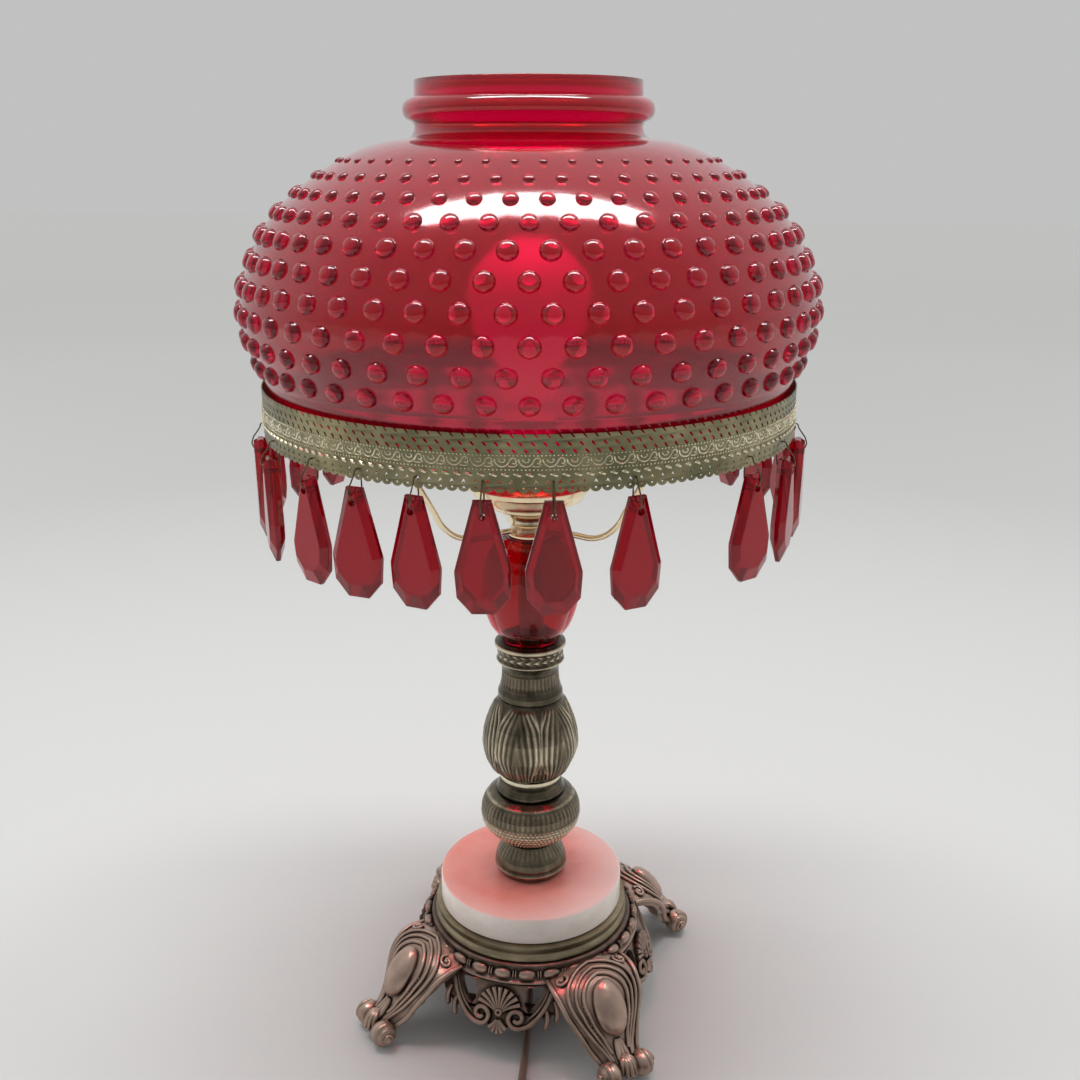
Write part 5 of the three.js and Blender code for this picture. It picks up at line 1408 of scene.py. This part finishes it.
def vase_ornament(angle, share):
    """Leaves side by side round the vase: their veins flow down and outward from a middle rib."""
    half = 180 / LEAVES
    across = (angle + LEAF_TURN + half) % (2 * half) - half
    width = half * (0.6 + 0.4 * eased(share, 0.02, 0.42)) * (1 - 0.25 * eased(share, 0.75, 1))
    reach = abs(across) / width
    inside = eased(1.02 - reach, 0, 0.1) * between(share, -0.1, 0.95, 0.03)
    sway = 30 * math.sin(math.radians(share * 290 + 40)) * (0.4 + reach)
    veins = wave(reach * 250 + share * 210 + sway, 6, 1.3)
    fade = 0.35 + 0.65 * eased(reach, 0.05, 0.6)
    spine = math.exp(-((across / 2.2) ** 2)) * (1 - share)
    edge = math.exp(-(((reach - 0.97) / 0.06) ** 2)) * between(share, 0.05, 0.93, 0.04)
    stems = wave(across, 60) * (1 - inside) * between(share, -0.1, 0.5, 0.1)
    swell = 0.9 * inside * math.cos(math.radians(80 * min(reach, 1)))
    lift = swell + inside * (0.6 * veins * fade + 0.35 * spine) + 0.4 * edge + 0.5 * stems - 1.3
    high_share = 0.16 + inside * (0.4 * veins * fade + 0.2 * spine) + 0.25 * edge + 0.25 * stems
    return lift, high_share


def neck_ornament(angle, share):
    ribs = between(share, 0.52, 0.97, 0.06)
    return 0.35 * ribs * (wave(angle, 44, 0.7) - 1), 0.18 + 0.16 * ribs * wave(angle, 44, 2)


def cap_ornament(angle, share):
    fillet_low = between(share, 0.3, 0.37, 0.02)
    fillet_high = between(share, 0.8, 0.93, 0.03)
    band = between(share, 0.42, 0.74, 0.03)
    curls = wave(angle + 5 * math.sin(math.radians(share * 1500)), 24) * wave(share * 360 * 5.5, 1, 0.6)
    lift = 0.45 * fillet_low + 0.4 * fillet_high + band * (0.7 * curls - 0.5)
    return lift, 0.16 + 0.42 * fillet_low + 0.4 * fillet_high + 0.5 * band * curls


cast_piece(
    "vase_cast",
    "column_vase",
    [(16.8, 0), (18.6, 0.02), (21.6, 0.08), (24.2, 0.2), (25.9, 0.33), (26.2, 0.42), (25.6, 0.56), (24, 0.7)]
    + [(21.6, 0.84), (19.3, 0.95), (18.4, 1)],
    vase_ornament,
    360,
    0.5,
)
cast_piece(
    "neck_cast",
    "column_neck",
    [(17, 0), (17.4, 0.06), (17.3, 0.22), (16.3, 0.38), (15.5, 0.6), (15.2, 0.85), (15.2, 1)],
    neck_ornament,
)
cast_piece(
    "cap_cast",
    "column_cap",
    [(15.2, 0), (15.3, 0.12), (16.2, 0.24), (17.6, 0.34), (17.4, 0.42), (17.4, 0.72), (18.2, 0.78), (18.5, 0.84)]
    + [(18.4, 0.93), (17.2, 0.97), (16.9, 1)],
    cap_ornament,
    240,
)

# %% [markdown]
# ## Marble and seat ring
# The marble is a sawn and polished disc with softly broken edges. A turned brass ring carries it, a
# little wider than the stone, with a groove that catches a dark line.

# %% Marble and seat ring
marble_foot, marble_top = low("marble_slab"), high("marble_slab")
slab = bored(
    "marble_disc",
    [(49.4, marble_foot), (50, marble_foot + 0.3), (50.3, marble_foot + 0.9), (50.3, marble_top - 1.2)]
    + [(50.05, marble_top - 0.5), (49.6, marble_top - 0.1), (49.1, marble_top)],
    PIPE_HOLE,
    160,
    60,
)
dress(slab, "lamp", marble, "marble", "marble_slab")

SEAT_BORE = 39.8
seat_foot, seat_top = low("marble_seat_ring"), high("marble_seat_ring")
seat = bored(
    "seat_ring_turned",
    [(53.2, seat_foot), (53.8, seat_foot + 0.5), (53.8, seat_foot + 2.2), (53.3, seat_foot + 3)]
    + [(52.5, seat_foot + 3.4), (52.2, seat_foot + 3.9), (52.7, seat_foot + 4.5)]
    + [(53.0, seat_top - 0.8), (52.6, seat_top - 0.1), (51.9, seat_top)],
    SEAT_BORE,
    160,
)
dress(seat, "lamp", khaki_brass, "olive_brass", "marble_seat_ring")

# %% [markdown]
# ## The cast base
# One brass casting, hollow beneath. A ring with beads and reels is turned and trimmed. Between two
# feet hangs a pierced panel with a shell, two volutes and scrolls, and each foot is a broad curved
# shield with an oval boss, ribbed borders and two rolled toes. Castings like this are joined from
# wax parts, so the model also joins them from parts: plates that are drawn flat and bent, wires for
# the ribs, and drops for the beads. The shield is a skin of points on a curved ridge, because its
# width and its crown change all the way down.

# %% Base ring with beads and reels
base_top = high("base_casting")
RING_LINE = [(54.6, 8.9), (58.6, 9.2), (60.0, 8.9), (60.5, 8.2), (60.2, 7.5), (59.2, 7.2), (58.4, 6.6)]
RING_LINE += [(57.8, 5.4), (57.2, 4.0), (56.6, 2.6), (56.2, 1.4), (55.9, 0.7), (55.3, 0.2), (54.6, 0)]
RING_LINE += [(PIPE_HOLE, 0), (PIPE_HOLE, 4), (52.5, 4), (54.5, 5.5)]
ring = turned("base_ring", [(r, base_top - down) for r, down in RING_LINE], 160)
BEAD_COUNT, BEAD_STRETCH = 28, (1.72, 0.86, 1)
REEL_STRETCH, REEL_HALF_GAP = (0.24, 0.86, 1), 0.011
bead_level = base_top - 4.1
oval_beads = beads_round("oval_beads", BEAD_COUNT, 57.9, bead_level, 2.9, BEAD_STRETCH, 3)
reels = []
for side in (-1, 1):
    reel = beads_round("reel", BEAD_COUNT, 57.8, bead_level, 2.6, REEL_STRETCH, 2)
    reel.data.transform(Matrix.Rotation(math.pi / BEAD_COUNT + side * REEL_HALF_GAP, 4, "Z"))
    reels.append(reel)

# %% Pierced panel
PANEL_ANGLES = (0, 90, 180, 270)
PANEL_TOP = base_top - 8.4
PANEL_REACH = 60.0
PANEL_FLARE = 7.0
PANEL_DROP = 20.0
PANEL_TILT = PANEL_FLARE / PANEL_DROP
PANEL_PLATE = 2.6


def panel_spot(x, y, off):
    """Where a flat point lands on the flared panel: x runs round, y is height, off is outward."""
    r = PANEL_REACH + PANEL_TILT * (PANEL_TOP - y) + off
    a = x / (PANEL_REACH + 3)
    return (r * math.sin(a), -r * math.cos(a), y)


def on_panel(piece):
    """Bends a flat drawing onto the flared panel."""
    for vertex in piece.data.vertices:
        vertex.co = Vector(panel_spot(*vertex.co)) * MM
    piece.data.update()
    return piece


def panel_wire(points, radius, widths=None, off=1.2):
    """A raised scroll on the panel, through flat (x, height) points."""
    return tube("panel_wire", [panel_spot(x, y, off) for x, y in points], radius, widths, 4, 2)


def mirrored(points):
    """The same line on the other side."""
    return [(-x, y) for x, y in points]


def spiral(x, y, start, turns, outer, inner, steps=14):
    """A spiral about (x, y): it starts at this angle and winds in."""
    out = []
    for k in range(steps + 1):
        t = k / steps
        a = math.radians(start) + turns * 2 * math.pi * t
        r = outer + (inner - outer) * t
        out.append((x + r * math.cos(a), y + r * math.sin(a)))
    return out


PANEL_EDGE = [(0, 18.6), (3.2, 19), (5.2, 20.6), (8, 20.4), (12.2, 20.6), (15, 21.6), (17.4, 23.4), (20, 25.4)]
PANEL_EDGE += [(22.4, 24.6), (24.6, 23.2), (26.6, 25.8), (29, 26.4), (31, 27.5), (33.5, 30), (36.5, 35), (38, 41.4)]
SIDE_HOLE = [(13, 31), (15.2, 27.9), (17.8, 29.4), (20.6, 32.6), (23, 36.4), (23.2, 39.9), (16, 40.3), (13.6, 37)]
panel_outline = flowing(mirrored(PANEL_EDGE[::-1])[:-1] + PANEL_EDGE, 3)
holes = [flowing([*SIDE_HOLE, SIDE_HOLE[0]], 3)[:-1]]
plate = flat_plate("panel_plate", [panel_outline, *holes, *[mirrored(hole) for hole in holes]], PANEL_PLATE)
tidied(on_panel(plate))
apply_modifier(plate, "BEVEL", width=0.5 * MM, segments=2, limit_method="ANGLE", angle_limit=0.9)
panel = [plate]
VOLUTE = [(28.5, 39.6), (26.2, 34.5), (23, 29.4), (19, 24.8), (14.4, 21.2)]
VOLUTE += spiral(9.3, 24.9, -90, -1.2, 4.9, 1.3)
INNER_SCROLL = [(26.4, 39.8), (24.4, 35.4), (21.2, 30.6), (17.6, 26.8), (14.6, 24.6)]
LEAF = [(23.6, 30), (24.6, 26), (24.2, 22.4), (23.2, 20), (22.4, 19.4)]
TIP = [(28.4, 33), (29.8, 29), (29.6, 25.4), (28.6, 23.2), (27.8, 22.8)]
for line, thick, end in ((VOLUTE, 1.5, 0.7), (INNER_SCROLL, 0.8, 0.7), (LEAF, 1.6, 0.3), (TIP, 1.7, 0.3)):
    widths = [0.6] + [1.0] * (len(line) - 2) + [end]
    panel.append(panel_wire(line, thick, widths))
    panel.append(panel_wire(mirrored(line), thick, widths))
for step in range(-4, 5):
    lean = math.radians(step * 19)
    tip = (11.2 * math.sin(lean), 29.4 + 10.4 * math.cos(lean))
    middle = (6 * math.sin(lean), 28.8 + 6 * math.cos(lean))
    panel.append(panel_wire([(step * 0.35, 27.4), middle, tip], 1.25, [0.5, 0.95, 1.4], 1.3))
panel.append(panel_wire(spiral(0, 27.4, 90, 1, 1.3, 1.3, 8), 0.8, None, 1.9))
for step in range(-2, 3):
    lean = math.radians(step * 27)
    petal = [(step * 0.3, 23.6), (2.6 * math.sin(lean), 23 - 3 * math.cos(lean))]
    petal.append((5 * math.sin(lean), 22.6 - 5.6 * math.cos(lean)))
    panel.append(panel_wire(petal, 1.3, [0.6, 0.95, 1.2], 1.5))
panels = copies_at(joined("panel", panel), PANEL_ANGLES)
print(len(panels), "panels of", len(panel), "parts")

# %% Foot: a curved shield with ribs, a boss and rolled toes
LEG_RIDGE = [(55.5, 48.2), (63, 47.6), (70.5, 45.2), (76.5, 40.6), (81.6, 34), (85.4, 26.5), (89.5, 18.6)]
LEG_RIDGE += [(95, 13.6), (99, 11.2)]
ridge = flowing(LEG_RIDGE, 4)
ridge_walked = walk(ridge)
SHIELD_CROWN, SHIELD_PLATE = 5.2, 3.2
LEG_WIDTHS = [(0, 23.5), (0.2, 24.6), (0.4, 23.8), (0.58, 20.6), (0.75, 16), (0.88, 11.6), (1, 9.2)]


def leg_half_width(share):
    """Half the shield's width at this share of its length."""
    for (s0, w0), (s1, w1) in zip(LEG_WIDTHS, LEG_WIDTHS[1:]):
        if share <= s1:
            return w0 + (w1 - w0) * eased(share, s0, s1)
    return LEG_WIDTHS[-1][1]


def on_leg(across, share, lift):
    """A point on the shield: across runs from -1 to 1, share runs down it."""
    half = leg_half_width(share)
    crown = -SHIELD_CROWN * abs(across) ** 2.4
    r, z = lifted(ridge, ridge_walked, share, lift + crown)
    return (half * across, -r, z)


def shield():
    """The shield's skin, thickened inward."""
    rows, columns = 40, 24
    points = []
    for i in range(rows + 1):
        for j in range(columns + 1):
            across = 2 * j / columns - 1
            share = i / rows
            groove = 0.7 * between(abs(across), 0.7, 0.76, 0.03) + 0.9 * between(abs(across), 0.86, 0.91, 0.03)
            points.append(Vector(on_leg(across, share, -groove)) * MM)
    faces = []
    for i in range(rows):
        for j in range(columns):
            a = i * (columns + 1) + j
            faces.append((a, a + 1, a + columns + 2, a + columns + 1))
    mesh = bpy.data.meshes.new("shield")
    mesh.from_pydata(points, [], faces)
    skin = tidied(in_scene("shield", mesh))
    up = sum(face.normal.z for face in skin.data.polygons)
    apply_modifier(skin, "SOLIDIFY", thickness=SHIELD_PLATE * MM, offset=-1 if up > 0 else 1)
    bpy.ops.object.shade_smooth_by_angle(angle=math.radians(50))
    return skin


def leg_wire(points, radius, widths=None):
    """A rib on the shield, through (across, share, lift) points."""
    return tube("leg_wire", [on_leg(*p) for p in points], radius, widths, 4, 2)


def drop_at(place, size, stretch=(1, 1, 1), turn=0.0):
    """A smooth ball or oval at a point."""
    drop = added("drop", bpy.ops.mesh.primitive_ico_sphere_add, subdivisions=3, radius=size * MM)
    drop.data.transform(Matrix.Diagonal((*stretch, 1)))
    drop.data.transform(Matrix.Rotation(turn, 4, "X"))
    drop.data.transform(Matrix.Translation(Vector(place) * MM))
    bpy.ops.object.shade_smooth()
    return drop


def arched(reach, crest, foot, side):
    """A rib that follows the shield's edge on one side and arches over its top, down to the foot."""
    out = []
    for k in range(12):
        t = k / 11
        across = reach * math.sin(math.pi / 2 * min(t / 0.42, 1)) ** 0.8
        out.append((side * across * (1 - 0.25 * eased(t, 0.55, 1)), crest + (foot - crest) * t**1.25, 0.35))
    return out


leg = [shield()]
for side in (-1, 1):
    border = [(side * 0.97, 0.02 + 0.11 * k, 0.1) for k in range(9)]
    leg.append(leg_wire(border, 1.5, [0.8] + [1] * 7 + [0.8]))
    for reach, crest, foot, thick in ((0.82, 0.06, 0.95, 1.1), (0.68, 0.13, 0.92, 1.0), (0.54, 0.2, 0.86, 1.2)):
        leg.append(leg_wire(arched(reach, crest, foot, side), thick))
    curl = []
    for k in range(11):
        a = math.radians(220 - 40 * k)
        r = 3.4 - 0.24 * k
        curl.append((side * (0.74 + r * 0.045 * math.cos(a)), 0.12 + r * 0.016 * math.sin(a), 0.6))
    leg.append(leg_wire(curl, 1.0))
    leg.append(drop_at(on_leg(side * 0.74, 0.12, 0.4), 1.5))
    for k in range(14):
        share = 0.42 + 0.034 * k
        leg.append(drop_at(on_leg(side * (0.585 - 0.16 * eased(share, 0.55, 1)), share, 0.1), 0.7))
BOSS_STRETCH, BOSS_LEAN = (9.2, 5.6, 14.6), math.radians(-36)
leg.append(drop_at(on_leg(0, 0.5, 0.2), 1, BOSS_STRETCH, BOSS_LEAN))
for side in (-1, 0, 1):
    tongue = [(side * (0.05 + 0.2 * k / 5), 0.76 + 0.04 * k, 0.5) for k in range(6)]
    leg.append(leg_wire(tongue, 1.6, [0.7, 1.0, 1.1, 1.1, 1.0, 0.8]))

TOE_CENTRE, TOE_RADIUS, TOE_HALF_SPREAD = 97.0, 7.8, 9.5


def toe(side):
    """A rolled toe: a drum with a spiral on its outer end and a bead in the middle."""
    centre = Vector((side * TOE_HALF_SPREAD, -TOE_CENTRE, TOE_RADIUS + 0.3))
    parts = [drop_at(centre, TOE_RADIUS - 0.9, (0.92, 1, 1))]
    points, widths = [], []
    for k in range(25):
        a = math.radians(100 - 34 * k)
        r = TOE_RADIUS - 1.6 - 0.19 * k
        out = side * (1.8 + 0.2 * k)
        points.append(centre + Vector((out, -r * math.cos(a) * 0.98, r * math.sin(a) * 0.98)))
        widths.append(1 - 0.016 * k)
    parts.append(tube("toe_spiral", points, 1.45, widths, 3, 2))
    parts.append(drop_at(centre + Vector((side * 6.1, 0, 0)), 1.9))
    return parts


for side in (-1, 1):
    leg += toe(side)
for k in range(5):
    lean = math.radians(-44 + 22 * k)
    start = Vector((0, -(TOE_CENTRE - 3), 15.2))
    tip = start + Vector((6.6 * math.sin(lean), -9.4 * math.cos(lean), -7.4))
    middle = start + Vector((3.6 * math.sin(lean), -5.6 * math.cos(lean), -1.2))
    leg.append(tube("toe_leaf", [start, middle, tip], 1.7, [0.6, 1, 0.7], 4, 2))
legs = copies_at(joined("leg", leg), [angle + 45 for angle in PANEL_ANGLES])
print(len(legs), "feet of", len(leg), "parts")

# %% The casting and its patina
casting = joined("base_cast", [ring, oval_beads, *reels, *panels, *legs])
RING_REACH = 56.5


def casting_patina(angle, z, radius):
    """High points are rubbed bright: how far a point stands outside the plate decides it."""
    plate_reach = PANEL_REACH + PANEL_TILT * max(PANEL_TOP - z, 0)
    stands = radius - plate_reach if z < PANEL_TOP else radius - RING_REACH
    return 0, 0.18 + 0.3 * eased(stands, 0.5, 4)


raise_surface(casting, casting_patina)
dress(casting, "lamp", antique, "antique_brass", "base_casting")

# %% [markdown]
# ## What stays as it was packed
# The washer, the nuts, the pipe, the ring under the shade and the socket's inner parts are plain
# shapes in real life too. They are hidden or nearly so, and keep their solids with a finish of
# their own.

# %% Finishes of the plain solids
PLAIN_FINISHES = {
    "base_washer": steel,
    "base_nut": steel,
    "lamp_pipe": pipe_brass,
    "socket_nut": steel,
    "cord_bushing": black_plastic,
    "socket_core": black_plastic,
    "socket_insulator": fibre,
    "socket_screw_shell": bright_brass,
    "socket_shell": bright_brass,
    "bulb_cap": aluminium,
    "shade_ring": olive_brass,
}
for name, finish in PLAIN_FINISHES.items():
    solid = bpy.data.objects[name]
    solid.data.materials.clear()
    solid.data.materials.append(finish)
print(len(PLAIN_FINISHES), "solids keep their shape")
